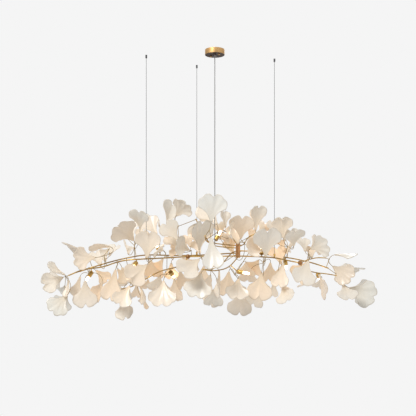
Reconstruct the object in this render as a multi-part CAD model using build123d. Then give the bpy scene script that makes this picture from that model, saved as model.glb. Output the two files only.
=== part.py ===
from build123d import *
import math
import os

import numpy as np

# A chandelier of porcelain ginkgo leaves on brass branches. It hangs on three steel wires from ceiling
# anchors and takes its current by a cord from a brass canopy. Millimetres, +Z up, +X along the branches.
# The origin is on the ceiling, at the middle of the canopy, and -Y is the side that faces the room.

# Canopy and its bracket
CANOPY_RADIUS = 46.0
CANOPY_HEIGHT = 24.0
CANOPY_WALL = 1.2
CANOPY_EDGE_ROUND = 1.0
BRACKET_LENGTH = 82.0
BRACKET_WIDTH = 16.0
BRACKET_THICKNESS = 2.5
BRACKET_HOLE_SPACING = 68.0
BRACKET_HOLE_RADIUS = 2.25
BRACKET_ANGLE = -45.0
STUD_SPACING = 52.0
STUD_RADIUS = 2.0
CAP_NUT_RADIUS = 4.6
CAP_NUT_FLANGE = 1.6
TERMINAL_LENGTH = 24.0
TERMINAL_WIDTH = 13.0
TERMINAL_HEIGHT = 8.0

# Cord and its two glands
CORD_RADIUS = 2.0
GLAND_RADIUS = 6.5
GLAND_LENGTH = 12.0
GLAND_NECK_RADIUS = 4.5
GLAND_NECK_LENGTH = 6.5
GLAND_NUT_WIDTH = 13.0
GLAND_NUT_HEIGHT = 4.0
GLAND_PIVOT_DEPTH = 7.0
CORD_BALL_RADIUS = 1.9

# Wires, their end balls and the barrels that hold them
WIRE_RADIUS = 1.0
WIRE_LENGTH = 963.0
WIRE_PLACES = {"left": (-331.0, 80.0), "back": (-90.0, 257.0), "right": (298.0, 143.0)}
BALL_RADIUS = 3.0
BARREL_RADIUS = 4.5
BARREL_LENGTH = 12.0
BARREL_FLANGE = 3.0
BARREL_SPIGOT = 3.0
BARREL_PIVOT_DEPTH = 7.0
ANCHOR_HOLE_RADIUS = 1.7
SWAY_ANGLE = 5.0

# Clearances
FIT_GAP = 0.05
RUNNING_GAP = 0.3
SEAT_RELIEF = 0.2

# Lamp body: where its own origin stands, its hub, its two knuckles and its branches
LAMP_DROP = 28.0
LAMP_PLACE = (-32.0, 160.0, -WIRE_LENGTH - LAMP_DROP)
HUB_PLACE = (150.0, 0.0, 2.0)
HUB_RADIUS = 11.0
HUB_HEIGHT = 68.0
HUB_BORE_RADIUS = 3.6
HUB_CAP_HEIGHT = 5.0
KNUCKLE_RADIUS = 12.0
LEFT_KNUCKLE = (-100.0, -10.0, 8.0)
RIGHT_KNUCKLE = (460.0, -5.0, -24.0)
SEAT_DEPTH = 6.0
BRANCH_RADIUS = 3.2
SIDE_BRANCH_RADIUS = 2.6
BEND_SHARE = 0.45
FEED_BLOCK_RADIUS = 7.5
FEED_BLOCK_HEIGHT = 15.0
FEED_BLOCK_WALL = 1.0

# Sprigs: a stem that stands in a branch, a knot and a twig to each leaf
STEM_RADIUS = 1.5
TWIG_RADIUS = 1.2
TWIG_DEPTH = 6.0
KNOT_RADIUS = 2.8
FOOT_SPACING = 8.0

# Leaves: lengths in use, the short stalk, the thickness at the stalk and at the rim
LEAF_LENGTHS = {"small": 84.0, "middle": 110.0, "large": 130.0, "long": 148.0}
LEAF_STALK = 14.0
LEAF_STALK_HALF = 3.2
LEAF_RIM_THICKNESS = 2.2

# Lamp holders and lamps
HOLDER_RADIUS = 11.0
HOLDER_LENGTH = 26.0
HOLDER_WALL = 1.6
HOLDER_ARM_RADIUS = 2.5
SOCKET_LENGTH = 15.0
LAMP_BASE_RADIUS = 5.0
LAMP_BASE_LENGTH = 8.0
LAMP_PIN_DEPTH = 5.0
LAMP_GLASS_RADIUS = 6.0
LAMP_GLASS_LENGTH = 30.0

# The lamp is laid out as it is seen from the room, at this distance and height above its origin
VIEW_DISTANCE = 2565.0
VIEW_HEIGHT = 250.0

# Room that the leaves keep: around each sampled point of a leaf, around rods and around a swaying wire
LEAF_ROOM = 4.2
ROD_ROOM = 1.6
KNOT_ROOM = 11.0
STEEPEST_TWIG = 75.0
STRAIGHTEST_TWIG = 0.5


def vector(place):
    """A numpy vector, for the clearance sums."""
    return np.array(place, dtype=float)


def unit(direction):
    """The direction at length one."""
    return direction / np.linalg.norm(direction)


def along(start, direction, radius, length):
    """A round rod from start along direction."""
    return Solid.make_cylinder(radius, length, Plane(origin=tuple(start), z_dir=tuple(direction)))


def in_lamp(place):
    """A place of the lamp's own frame, in the frame of the ceiling."""
    return tuple(vector(place) + vector(LAMP_PLACE))


def seen_at(x, z, depth):
    """The place in the lamp that is seen at x, z on its middle plane and lies depth behind that plane."""
    spread = 1 + depth / VIEW_DISTANCE
    return vector((x * spread, depth, VIEW_HEIGHT + (z - VIEW_HEIGHT) * spread))


# Ceiling bracket, canopy and what is inside it

def bracket_place(distance):
    """A place on the bracket's middle line, distance from its middle."""
    return Rot(0, 0, BRACKET_ANGLE) * Pos(distance, 0, 0)


def ceiling_bracket():
    """A strip with two ceiling screw holes and two holes for the canopy studs."""
    strip = Pos(0, 0, -BRACKET_THICKNESS / 2) * Box(BRACKET_LENGTH, BRACKET_WIDTH, BRACKET_THICKNESS)
    strip = fillet(strip.edges().filter_by(Axis.Z), BRACKET_WIDTH / 3)
    for side in (-1, 1):
        hole = Cylinder(BRACKET_HOLE_RADIUS, 4 * BRACKET_THICKNESS)
        strip -= Pos(side * BRACKET_HOLE_SPACING / 2, 0, 0) * hole
        strip -= Pos(side * STUD_SPACING / 2, 0, 0) * Cylinder(STUD_RADIUS + FIT_GAP, 4 * BRACKET_THICKNESS)
    return [bracket_place(0) * strip.solid()]


def cap_nut_top():
    """How far the studs reach below the canopy."""
    return CANOPY_HEIGHT + CAP_NUT_RADIUS / 2


def bracket_studs():
    """Two studs with a collar under the bracket, which end inside the cap nuts."""
    studs = []
    length = cap_nut_top() - SEAT_RELIEF
    for side in (-1, 1):
        stud = Pos(0, 0, -length / 2) * Cylinder(STUD_RADIUS, length)
        collar = Cylinder(2 * STUD_RADIUS, CAP_NUT_FLANGE)
        collar = Pos(0, 0, -BRACKET_THICKNESS - CAP_NUT_FLANGE / 2) * collar
        studs.append(bracket_place(side * STUD_SPACING / 2) * (stud + collar).solid())
    return studs


def canopy_cup():
    """A drawn cup with a rounded lower edge, two stud holes and the gland's hole."""
    cup = Pos(0, 0, -CANOPY_HEIGHT / 2) * Cylinder(CANOPY_RADIUS, CANOPY_HEIGHT)
    cup = fillet(cup.edges().sort_by(Axis.Z)[0], CANOPY_EDGE_ROUND)
    inside_height = CANOPY_HEIGHT - CANOPY_WALL
    cup -= Pos(0, 0, -inside_height / 2) * Cylinder(CANOPY_RADIUS - CANOPY_WALL, inside_height)
    cup -= Pos(0, 0, -CANOPY_HEIGHT) * Cylinder(GLAND_NECK_RADIUS + FIT_GAP, 4 * CANOPY_WALL)
    for side in (-1, 1):
        hole = Pos(0, 0, -CANOPY_HEIGHT) * Cylinder(STUD_RADIUS + RUNNING_GAP, 4 * CANOPY_WALL)
        cup -= bracket_place(side * STUD_SPACING / 2) * hole
    return [cup.solid()]


def canopy_cap_nuts():
    """Two domed nuts that close the canopy from below."""
    nuts = []
    for side in (-1, 1):
        flange = Pos(0, 0, -CANOPY_HEIGHT - CAP_NUT_FLANGE / 2) * Cylinder(CAP_NUT_RADIUS, CAP_NUT_FLANGE)
        dome_size = 2 * CAP_NUT_RADIUS
        dome = Sphere(CAP_NUT_RADIUS) & Pos(0, 0, -dome_size / 2) * Box(dome_size, dome_size, dome_size)
        nut = flange + Pos(0, 0, -CANOPY_HEIGHT - CAP_NUT_FLANGE) * dome
        nut -= Pos(0, 0, -cap_nut_top() / 2) * Cylinder(STUD_RADIUS + FIT_GAP, cap_nut_top())
        nuts.append(bracket_place(side * STUD_SPACING / 2) * nut.solid())
    return nuts


def gland():
    """A cord gland with its mouth down, its flange at height zero and its neck above.

    The mouth flares from the pivot down, so that the cord can lean."""
    lean = math.tan(math.radians(1.5 * SWAY_ANGLE))
    bore = CORD_RADIUS + RUNNING_GAP
    below_pivot = GLAND_LENGTH - GLAND_PIVOT_DEPTH
    mouth = bore + RUNNING_GAP + below_pivot * lean
    body = Pos(0, 0, -GLAND_LENGTH / 2) * Cylinder(GLAND_RADIUS, GLAND_LENGTH)
    body = fillet(body.edges().sort_by(Axis.Z)[0], GLAND_RADIUS - mouth - 2 * RUNNING_GAP)
    body += Pos(0, 0, GLAND_NECK_LENGTH / 2) * Cylinder(GLAND_NECK_RADIUS, GLAND_NECK_LENGTH)
    body -= Cylinder(bore, 4 * GLAND_LENGTH)
    flare = Cone(mouth, bore, below_pivot)
    body -= Pos(0, 0, -GLAND_PIVOT_DEPTH - below_pivot / 2) * flare
    return body.solid()


def gland_nut():
    """The hexagonal nut on the gland's neck, inside the canopy."""
    nut = extrude(RegularPolygon(GLAND_NUT_WIDTH / 2, 6, major_radius=False), GLAND_NUT_HEIGHT)
    nut -= Cylinder(GLAND_NECK_RADIUS + FIT_GAP, 4 * GLAND_NUT_HEIGHT)
    return nut.solid()


def terminal_bottom():
    """Height of the terminal block's underside."""
    return -BRACKET_THICKNESS - TERMINAL_HEIGHT


def terminal_block():
    """The block under the bracket, with its three wire entries and three screw holes."""
    block = Box(TERMINAL_LENGTH, TERMINAL_WIDTH, TERMINAL_HEIGHT)
    pitch = TERMINAL_LENGTH / 3
    for pole in (-1, 0, 1):
        block -= Pos(pole * pitch, 0, 0) * Rot(90, 0, 0) * Cylinder(TERMINAL_HEIGHT / 4, 2 * TERMINAL_WIDTH)
    middle = -BRACKET_THICKNESS - TERMINAL_HEIGHT / 2
    return [Rot(0, 0, BRACKET_ANGLE) * Pos(0, 0, middle) * block.solid()]


def gland_pivot():
    """Height of the cord's upper pivot."""
    return -CANOPY_HEIGHT - GLAND_PIVOT_DEPTH


def canopy_lead():
    """The end of the cord between the gland and the terminal block."""
    bottom = gland_pivot() + CORD_BALL_RADIUS + RUNNING_GAP
    return [along((0, 0, bottom), (0, 0, 1), CORD_RADIUS, terminal_bottom() - bottom)]


# Wires, cord and their swivels

def barrel():
    """A barrel that hangs under height zero, bored for the end ball, with a flared mouth below."""
    bore = BALL_RADIUS + RUNNING_GAP
    below_pivot = BARREL_LENGTH - BARREL_PIVOT_DEPTH
    lean = math.tan(math.radians(1.5 * SWAY_ANGLE))
    throat = WIRE_RADIUS + RUNNING_GAP
    mouth = throat + below_pivot * lean
    body = Pos(0, 0, -BARREL_LENGTH / 2) * Cylinder(BARREL_RADIUS, BARREL_LENGTH)
    body -= Pos(0, 0, -BARREL_PIVOT_DEPTH / 2) * Cylinder(bore, BARREL_PIVOT_DEPTH)
    body -= Pos(0, 0, -BARREL_PIVOT_DEPTH) * Sphere(bore)
    body -= Pos(0, 0, -BARREL_PIVOT_DEPTH - below_pivot / 2) * Cone(mouth, throat, below_pivot)
    return body.solid()


def barrel_base(hole_radius):
    """The flange above a barrel, with the spigot that closes it and a screw hole."""
    flange = Pos(0, 0, BARREL_FLANGE / 2) * Cylinder(BARREL_RADIUS, BARREL_FLANGE)
    spigot = Pos(0, 0, -BARREL_SPIGOT / 2) * Cylinder(BALL_RADIUS + RUNNING_GAP - FIT_GAP, BARREL_SPIGOT)
    base = flange + spigot
    if hole_radius:
        base -= Cylinder(hole_radius, 4 * (BARREL_FLANGE + BARREL_SPIGOT))
    return base.solid()


def wire_pivot():
    """Height of the upper pivots of the wires."""
    return -BARREL_FLANGE - BARREL_PIVOT_DEPTH


def hanger_pivot():
    """Height of the wires' lower pivots, in the lamp's own frame."""
    return wire_pivot() - WIRE_LENGTH - LAMP_PLACE[2]


def feed_pivot():
    """Height of the cord's lower pivot, in the lamp's own frame."""
    return gland_pivot() - WIRE_LENGTH - LAMP_PLACE[2]


def wire_in_lamp(name):
    """Where a wire comes down, in the lamp's own frame."""
    x, y = WIRE_PLACES[name]
    return vector((x - LAMP_PLACE[0], y - LAMP_PLACE[1], hanger_pivot()))


def ball(place, radius):
    """An end ball."""
    return Pos(*place) * Sphere(radius).solid()


def suspension_wire(name):
    """One straight wire between its two end balls."""
    x, y = WIRE_PLACES[name]
    clear = BALL_RADIUS + RUNNING_GAP
    top = wire_pivot() - clear
    return [along((x, y, top - (WIRE_LENGTH - 2 * clear)), (0, 0, 1), WIRE_RADIUS, WIRE_LENGTH - 2 * clear)]


def wire_top_ball(name):
    """The upper end ball of a wire."""
    return [ball((*WIRE_PLACES[name], wire_pivot()), BALL_RADIUS)]


def wire_lower_ball(name):
    """The lower end ball of a wire."""
    return [ball((*WIRE_PLACES[name], wire_pivot() - WIRE_LENGTH), BALL_RADIUS)]


def power_cord():
    """The straight cord between its two glands."""
    top = gland_pivot() - CORD_BALL_RADIUS - RUNNING_GAP
    bottom = gland_pivot() - WIRE_LENGTH
    return [along((0, 0, bottom), (0, 0, 1), CORD_RADIUS, top - bottom)]


# Branches

def bent_path(points):
    """Straight runs joined by tangent arcs as large as the runs allow."""
    corners = [Vector(*point) for point in points]
    edges = []
    start = corners[0]
    for before, corner, after in zip(corners, corners[1:], corners[2:]):
        cut = BEND_SHARE * min((corner - before).length, (after - corner).length)
        into = (corner - before).normalized()
        bend_start = corner - into * cut
        bend_end = corner + (after - corner).normalized() * cut
        edges.append(Edge.make_line(start, bend_start))
        edges.append(Edge.make_tangent_arc(bend_start, into, bend_end))
        start = bend_end
    edges.append(Edge.make_line(start, corners[-1]))
    return Wire(edges)


class Branch:
    """A bent rod, the places along it, the feet that stand in it and the holes for them."""

    def __init__(self, radius, points):
        self.radius = radius
        self.path = bent_path(points)
        steps = int(self.path.length // 4)
        shares = [step / steps for step in range(steps + 1)]
        self.places = np.array([tuple(self.path.position_at(share)) for share in shares])
        self.start = self.places[0]
        self.heading = unit(vector(tuple(self.path.tangent_at(0))))
        self.feet = []
        self.holes = []

    def foot_near(self, target):
        """The free place in the rod that is nearest to target."""
        inside = self.places[2:-1]
        free = [p for p in inside if all(np.linalg.norm(p - f) >= FOOT_SPACING for f in self.feet)]
        foot = min(free, key=lambda p: np.linalg.norm(p - target))
        self.feet.append(foot)
        return foot

    def stand(self, target, radius):
        """Drill the rod for a stem that runs from it to target, and give the stem's foot."""
        foot = self.foot_near(target)
        heading = unit(target - foot)
        length = np.linalg.norm(target - foot) + SEAT_RELIEF
        self.holes.append(along(foot - SEAT_RELIEF * heading, heading, radius + FIT_GAP, length))
        return foot

    def rod(self):
        """The rod with its holes."""
        section = Plane(origin=self.path @ 0, z_dir=self.path % 0) * Circle(self.radius)
        solid = sweep(section, path=self.path)
        for hole in self.holes:
            solid -= hole
        return solid.solid()

    def seat(self):
        """The bore that takes the rod's first end in a hub."""
        back = self.start - SEAT_RELIEF * self.heading
        return along(back, self.heading, self.radius + FIT_GAP, 3 * SEAT_DEPTH)

    def end_seat(self):
        """The bore that takes the rod's last end."""
        heading = -unit(vector(tuple(self.path.tangent_at(1))))
        return along(self.places[-1] - SEAT_RELIEF * heading, heading, self.radius + FIT_GAP, 3 * SEAT_DEPTH)


def from_hub(height, heading):
    """The first point of a branch that sits in the hub at this height and leaves it along heading."""
    flat = unit(vector((heading[0], heading[1], 0)))
    return tuple(vector(HUB_PLACE) + vector((0, 0, height)) + flat * (HUB_RADIUS - SEAT_DEPTH))


def from_knuckle(centre, towards):
    """The first point of a branch that sits in a knuckle and leaves it towards a point."""
    return tuple(vector(centre) + unit(vector(towards) - vector(centre)) * (KNUCKLE_RADIUS - SEAT_DEPTH))


def feed_block_place():
    """The middle of the feed block's top, under the lower gland."""
    return vector((-LAMP_PLACE[0], -LAMP_PLACE[1], feed_pivot() - GLAND_PIVOT_DEPTH))


def main_branches():
    """Every branch, by name. Their points are in the lamp's own frame."""
    hanger_drop = BARREL_LENGTH - BARREL_PIVOT_DEPTH + BARREL_FLANGE + BRANCH_RADIUS + BARREL_SPIGOT
    under_wire = {name: wire_in_lamp(name) - vector((0, 0, hanger_drop)) for name in WIRE_PLACES}
    left, back, right = (tuple(under_wire[name]) for name in ("left", "back", "right"))
    feed_depth = GLAND_NECK_LENGTH + SEAT_RELIEF + FEED_BLOCK_WALL + SIDE_BRANCH_RADIUS
    feed = feed_block_place() - vector((0, 0, feed_depth))
    feed_heading = unit(vector((40.0, 55.0, 0.0)))
    feed_end = tuple(feed + feed_heading * (FEED_BLOCK_RADIUS - SEAT_DEPTH))
    feed_turn = tuple(feed + feed_heading * 55)
    spine_end = from_knuckle(LEFT_KNUCKLE, from_hub(8, (-1, 0, 0)))
    right_end = from_knuckle(RIGHT_KNUCKLE, (400, -12, -12))
    main = BRANCH_RADIUS
    side = SIDE_BRANCH_RADIUS
    runs = {
        "spine": (main, from_hub(8, (-1, 0, 0)), spine_end),
        "left_upper_branch": (
            main, from_knuckle(LEFT_KNUCKLE, (-200, -55, 6)), (-200, -55, 6), left, (-420, -74, -4),
            (-520, -48, -42), (-610, -34, -50), (-690, -26, -84)),
        "left_lower_branch": (
            side, from_knuckle(LEFT_KNUCKLE, (-122, -30, -34)), (-122, -30, -34), (-235, -54, -58),
            (-310, -62, -100), (-370, -64, -134), (-424, -56, -146)),
        "right_branch": (
            main, from_hub(8, (1, 0, 0)), (245, -8, 8), right, (400, -12, -12), right_end),
        "right_upper_branch": (
            side, from_knuckle(RIGHT_KNUCKLE, (500, -2, -8)), (500, -2, -8), (545, 4, 2), (592, 0, 0)),
        "right_lower_branch": (
            side, from_knuckle(RIGHT_KNUCKLE, (470, -16, -54)), (470, -16, -54), (530, -26, -70),
            (590, -26, -76), (640, -18, -86)),
        "left_top_branch": (
            side, from_hub(HUB_HEIGHT - 20, (-1, -0.2, 0)), (70, -14, 56), (12, -18, 66),
            (-26, -10, 130), (-62, 0, 196)),
        "right_top_branch": (
            side, from_hub(HUB_HEIGHT - 8, (1, -0.2, 0)), (178, -6, 66), (198, -14, 104), (232, -22, 122)),
        "front_top_branch": (
            side, from_hub(HUB_HEIGHT - 8, (-0.6, -1, 0)), (84, -100, 74), (-8, -150, 88), (-14, -206, 122)),
        "front_low_branch": (
            side, from_hub(20, (0.1, -1, 0)), (152, -62, 16), (96, -104, -40), (24, -112, -52),
            (-30, -104, -44)),
        "feed_arm": (side, from_hub(34, (-0.5, -1, 0)), (118, -58, 34), feed_turn, feed_end),
        "rear_left_branch": (
            main, from_hub(22, (-0.6, 1, 0)), (84, 86, 14), back, (-200, 112, 2), (-330, 104, 8),
            (-460, 84, -16), (-570, 58, -46), (-650, 36, -72)),
        "rear_right_branch": (
            main, from_hub(34, (0.8, 1, 0)), (236, 84, 26), (340, 92, 2), (440, 86, -10), (540, 62, -32),
            (612, 40, -56)),
        "rear_top_branch": (
            side, from_hub(HUB_HEIGHT - 20, (0.1, 1, 0)), (152, 50, 60), (112, 84, 118), (52, 108, 150),
            (0, 128, 168)),
    }
    return {name: Branch(run[0], run[1:]) for name, run in runs.items()}


def centre_hub(branches):
    """The post that carries the branches, bored from the top for the wiring."""
    post = Pos(*HUB_PLACE) * Pos(0, 0, HUB_HEIGHT / 2) * Cylinder(HUB_RADIUS, HUB_HEIGHT)
    bore_depth = HUB_HEIGHT - 2 * SEAT_DEPTH / 3
    post -= Pos(*HUB_PLACE) * Pos(0, 0, HUB_HEIGHT - bore_depth / 2) * Cylinder(HUB_BORE_RADIUS, bore_depth)
    for branch in branches:
        post -= branch.seat()
    return [post.solid()]


def hub_cap():
    """The domed lid on the hub, with a spigot in its bore."""
    lid = Cylinder(HUB_RADIUS, HUB_CAP_HEIGHT)
    lid = fillet(lid.edges().sort_by(Axis.Z)[-1], HUB_CAP_HEIGHT / 2)
    spigot = Cylinder(HUB_BORE_RADIUS - FIT_GAP, SEAT_DEPTH / 2)
    spigot = Pos(0, 0, -HUB_CAP_HEIGHT / 2 - SEAT_DEPTH / 4) * spigot
    lid += spigot
    return [Pos(*HUB_PLACE) * Pos(0, 0, HUB_HEIGHT + HUB_CAP_HEIGHT / 2) * lid.solid()]


def knuckle(centre, starting, ending):
    """A ball that joins branches: bores for those that start in it and those that end in it."""
    joint = Pos(*centre) * Rot(0, 0, 90) * Sphere(KNUCKLE_RADIUS)
    for branch in starting:
        joint -= branch.seat()
    for branch in ending:
        joint -= branch.end_seat()
    return [joint.solid()]


def feed_block(arm):
    """The block at the end of the feed arm, bored for the arm and for the gland's neck."""
    top = feed_block_place()
    block = Pos(*top) * Pos(0, 0, -FEED_BLOCK_HEIGHT / 2) * Cylinder(FEED_BLOCK_RADIUS, FEED_BLOCK_HEIGHT)
    block -= arm.end_seat()
    neck_bore = GLAND_NECK_LENGTH + SEAT_RELIEF
    block -= Pos(*top) * Pos(0, 0, -neck_bore / 2) * Cylinder(GLAND_NECK_RADIUS + FIT_GAP, neck_bore)
    return [block.solid()]


def hanger_plugs(branches):
    """The flange that closes each hanger barrel from below, with a foot in the branch under it."""
    plugs = []
    under = {"left": "left_upper_branch", "back": "rear_left_branch", "right": "right_branch"}
    for name, branch_name in under.items():
        pivot = wire_in_lamp(name)
        flange_top = pivot - vector((0, 0, BARREL_PIVOT_DEPTH))
        foot = branches[branch_name].stand(flange_top, STEM_RADIUS)
        base = Pos(*flange_top) * Rot(180, 0, 0) * barrel_base(0)
        stem = along(foot, unit(flange_top - foot), STEM_RADIUS, np.linalg.norm(flange_top - foot))
        plugs.append((base + stem).solid())
    return plugs


def hanger_barrels():
    """The barrels that hold the wires' lower balls, mouth up."""
    places = [wire_in_lamp(name) - vector((0, 0, BARREL_PIVOT_DEPTH)) for name in WIRE_PLACES]
    return [Pos(*place) * Rot(180, 0, 0) * barrel() for place in places]


# Lamp holders: the branch, the direction that the lamp points in and where the holder's back stands
HOLDERS = (
    ("front_low_branch", (0.95, -0.25, -0.15), (140, -122, -52)),
    ("left_upper_branch", (-0.35, -0.75, -0.55), (-345, -92, -12)),
    ("left_upper_branch", (-0.55, 0.35, -0.75), (-574, -30, -66)),
    ("right_lower_branch", (0.25, 0.8, -0.5), (548, -8, -80)),
    ("left_top_branch", (0.5, 0.3, 0.81), (36, -2, 88)),
    ("right_branch", (0.1, 0.62, 0.78), (268, 4, 18)),
    ("left_lower_branch", (0.3, 0.75, -0.6), (-186, -34, -64)),
    ("rear_left_branch", (-0.5, 0.2, 0.84), (-250, 112, 20)),
    ("rear_right_branch", (0.2, 0.5, -0.84), (400, 96, -22)),
)


class Holder:
    """A brass cup on an arm, the ceramic socket in it and the lamp in the socket."""

    def __init__(self, branches, branch_name, heading, back):
        self.heading = unit(vector(heading))
        self.back = vector(back)
        self.foot = branches[branch_name].stand(self.back, HOLDER_ARM_RADIUS)
        self.plane = Plane(origin=tuple(self.back), z_dir=tuple(self.heading))
        self.reach = HOLDER_LENGTH + LAMP_BASE_LENGTH + LAMP_GLASS_LENGTH

    def cup(self):
        """The cup, rounded at its back, with its arm."""
        body = Pos(0, 0, HOLDER_LENGTH / 2) * Cylinder(HOLDER_RADIUS, HOLDER_LENGTH)
        body = fillet(body.edges().sort_by(Axis.Z)[0], HOLDER_RADIUS / 3)
        depth = SOCKET_LENGTH + SEAT_RELIEF
        body -= Pos(0, 0, HOLDER_LENGTH - depth / 2) * Cylinder(HOLDER_RADIUS - HOLDER_WALL, depth)
        body = self.plane.location * body
        way = self.back - self.foot
        arm = along(self.foot, unit(way), HOLDER_ARM_RADIUS, np.linalg.norm(way))
        inside = along(self.back, self.heading, HOLDER_ARM_RADIUS, HOLDER_ARM_RADIUS)
        return (body + arm + inside + Pos(*self.back) * Sphere(HOLDER_ARM_RADIUS)).solid()

    def socket(self):
        """The ceramic insert, flush with the cup's mouth, with a recess for the lamp's base."""
        insert = Pos(0, 0, HOLDER_LENGTH - SOCKET_LENGTH / 2)
        insert *= Cylinder(HOLDER_RADIUS - HOLDER_WALL - FIT_GAP, SOCKET_LENGTH)
        recess = LAMP_PIN_DEPTH + SEAT_RELIEF
        insert -= Pos(0, 0, HOLDER_LENGTH - recess / 2) * Cylinder(LAMP_BASE_RADIUS + FIT_GAP, recess)
        return (self.plane.location * insert).solid()

    def lamp_base(self):
        """The lamp's pinched base, which sits in the socket."""
        middle = HOLDER_LENGTH - LAMP_PIN_DEPTH + LAMP_BASE_LENGTH / 2
        base = Pos(0, 0, middle) * Cylinder(LAMP_BASE_RADIUS, LAMP_BASE_LENGTH)
        return (self.plane.location * base).solid()

    def lamp_glass(self):
        """The lamp's round-ended capsule."""
        start = HOLDER_LENGTH - LAMP_PIN_DEPTH + LAMP_BASE_LENGTH
        straight = LAMP_GLASS_LENGTH - LAMP_GLASS_RADIUS
        glass = Pos(0, 0, start + straight / 2) * Cylinder(LAMP_GLASS_RADIUS, straight)
        glass += Pos(0, 0, start + straight) * Sphere(LAMP_GLASS_RADIUS)
        return (self.plane.location * glass).solid()

    def clutter(self):
        """Points along the holder and the lamp."""
        steps = np.linspace(0, self.reach, 16)[:, None]
        return self.back + steps * self.heading


# Leaf forms: half angle of the fan, how far the fan curls up at its tip, how far its sides stand up, the
# height of its ripples and how many, the depth of the middle notch and of the two side notches
LEAF_FORMS = {
    "fan": (46.0, 10.0, 12.0, 2.5, 3, 0.30, 0.04),
    "bowl": (44.0, 22.0, 24.0, 1.5, 3, 0.24, 0.03),
    "wing": (46.0, 12.0, 34.0, 2.0, 2, 0.26, 0.03),
    "ruffle": (52.0, 6.0, 9.0, 5.0, 4, 0.20, 0.10),
    "spoon": (30.0, 16.0, 10.0, 1.5, 2, 0.20, 0.02),
}
NOTCH_WIDTH = 0.16
SIDE_NOTCH_PLACE = 0.52
SIDE_NOTCH_WIDTH = 0.12
SHOULDER_DROP = 0.34
SHEET_COLUMNS = 21
SHEET_ROWS = 7
SHEET_SMOOTHING = (1.0, 0.2, 0.02)
SAMPLE_COLUMNS = 19
SAMPLE_ROWS = 12


def leaf_point(form, length, across, out, side):
    """A point of a leaf that grows along +X with its hollow side up.

    across runs from -1 to 1 over the fan, out from 0 at the stalk to 1 at the rim, and side is 1 on the
    hollow face, -1 on the other one and 0 between them."""
    angle, curl, cup, ripple, ripples, notch, side_notch = LEAF_FORMS[form]
    fan = length - LEAF_STALK
    middle_cut = notch * math.exp(-((across / NOTCH_WIDTH) ** 2))
    side_cut = side_notch * math.exp(-(((abs(across) - SIDE_NOTCH_PLACE) / SIDE_NOTCH_WIDTH) ** 2))
    radius = fan * out * (1 - middle_cut - side_cut - SHOULDER_DROP * across ** 4)
    turn = math.radians(angle) * across
    share = radius / fan
    x = LEAF_STALK * (1 - (1 - out) ** 2) + radius * math.cos(turn)
    y = LEAF_STALK_HALF * across * (1 - out) + radius * math.sin(turn)
    z = curl * share ** 2 + cup * share * across ** 2
    z += ripple * share ** 2 * math.cos(ripples * math.pi * across)
    half = LEAF_RIM_THICKNESS / 2
    half += (LEAF_STALK_HALF - half) * (1 - out) ** 3
    return (x, y, z + side * half)


def leaf_sheet(form, length, side):
    """One face of a leaf."""
    rows = []
    for row in range(SHEET_ROWS):
        out = row / (SHEET_ROWS - 1)
        columns = [-1 + 2 * column / (SHEET_COLUMNS - 1) for column in range(SHEET_COLUMNS)]
        rows.append([Vector(*leaf_point(form, length, across, out, side)) for across in columns])
    return Face.make_surface_from_array_of_points(
        rows, tol=0.2, smoothing=SHEET_SMOOTHING, min_deg=3, max_deg=5)


def leaf_solid(form, length):
    """A leaf: two faces, the edge between them and the hole that takes its twig."""
    upper = leaf_sheet(form, length, 1)
    lower = leaf_sheet(form, length, -1)
    faces = [upper, lower]
    for edge in upper.edges():
        partner = min(lower.edges(), key=lambda other: (edge @ 0.5 - other @ 0.5).length)
        faces.append(Face.make_surface_from_curves(edge, partner))
    leaf = Solid(Shell(faces))
    hole = along((-TWIG_DEPTH, 0, 0), (1, 0, 0), TWIG_RADIUS + FIT_GAP, 2 * TWIG_DEPTH + SEAT_RELIEF)
    return leaf.cut(hole).solid()


def leaf_samples(form, length):
    """Points spread over a leaf, for the clearance sums."""
    points = []
    for out in np.linspace(0.08, 1, SAMPLE_ROWS):
        for across in np.linspace(-1, 1, SAMPLE_COLUMNS):
            points.append(leaf_point(form, length, across, out, 0))
    return np.array(points)


class Leaf:
    """Where one leaf is seen: its stalk's end and its tip on the middle plane, and its depth.

    lean is 1 where the tip comes towards the room and -1 where it goes away. roll turns the leaf about its
    length: at 0 the hollow side faces the room, at 180 the other one. twin repeats it on the rear side."""

    def __init__(self, form, size, stalk, tip, depth, lean=1, roll=0, twin=False):
        self.form = form
        self.length = LEAF_LENGTHS[size]
        self.stalk = stalk
        self.tip = tip
        self.depth = depth
        self.lean = lean
        self.roll = roll
        self.twin = twin

    def rear(self, depth_shift):
        """The same leaf on the rear side."""
        depth = depth_shift - self.depth
        other = Leaf(self.form, "small", self.stalk, self.tip, depth, -self.lean, 180 - self.roll)
        other.length = self.length
        return other

    def pose(self, depth_step, lean_step, roll_step):
        """The stalk's end, the growing direction and the hollow side's direction."""
        place = seen_at(*self.stalk, self.depth + depth_step)
        seen = vector((self.tip[0] - self.stalk[0], 0, self.tip[1] - self.stalk[1]))
        share = min(1.0, np.linalg.norm(seen) / self.length)
        lean = math.degrees(math.acos(share)) + lean_step
        flat = unit(seen)
        towards = vector((0, -self.lean, 0))
        heading = math.cos(math.radians(lean)) * flat + math.sin(math.radians(lean)) * towards
        room_side = vector((0, -1, 0))
        facing = unit(room_side - room_side.dot(heading) * heading)
        turn = math.radians(self.roll + roll_step)
        hollow = math.cos(turn) * facing + math.sin(turn) * np.cross(heading, facing)
        return place, heading, hollow


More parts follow.
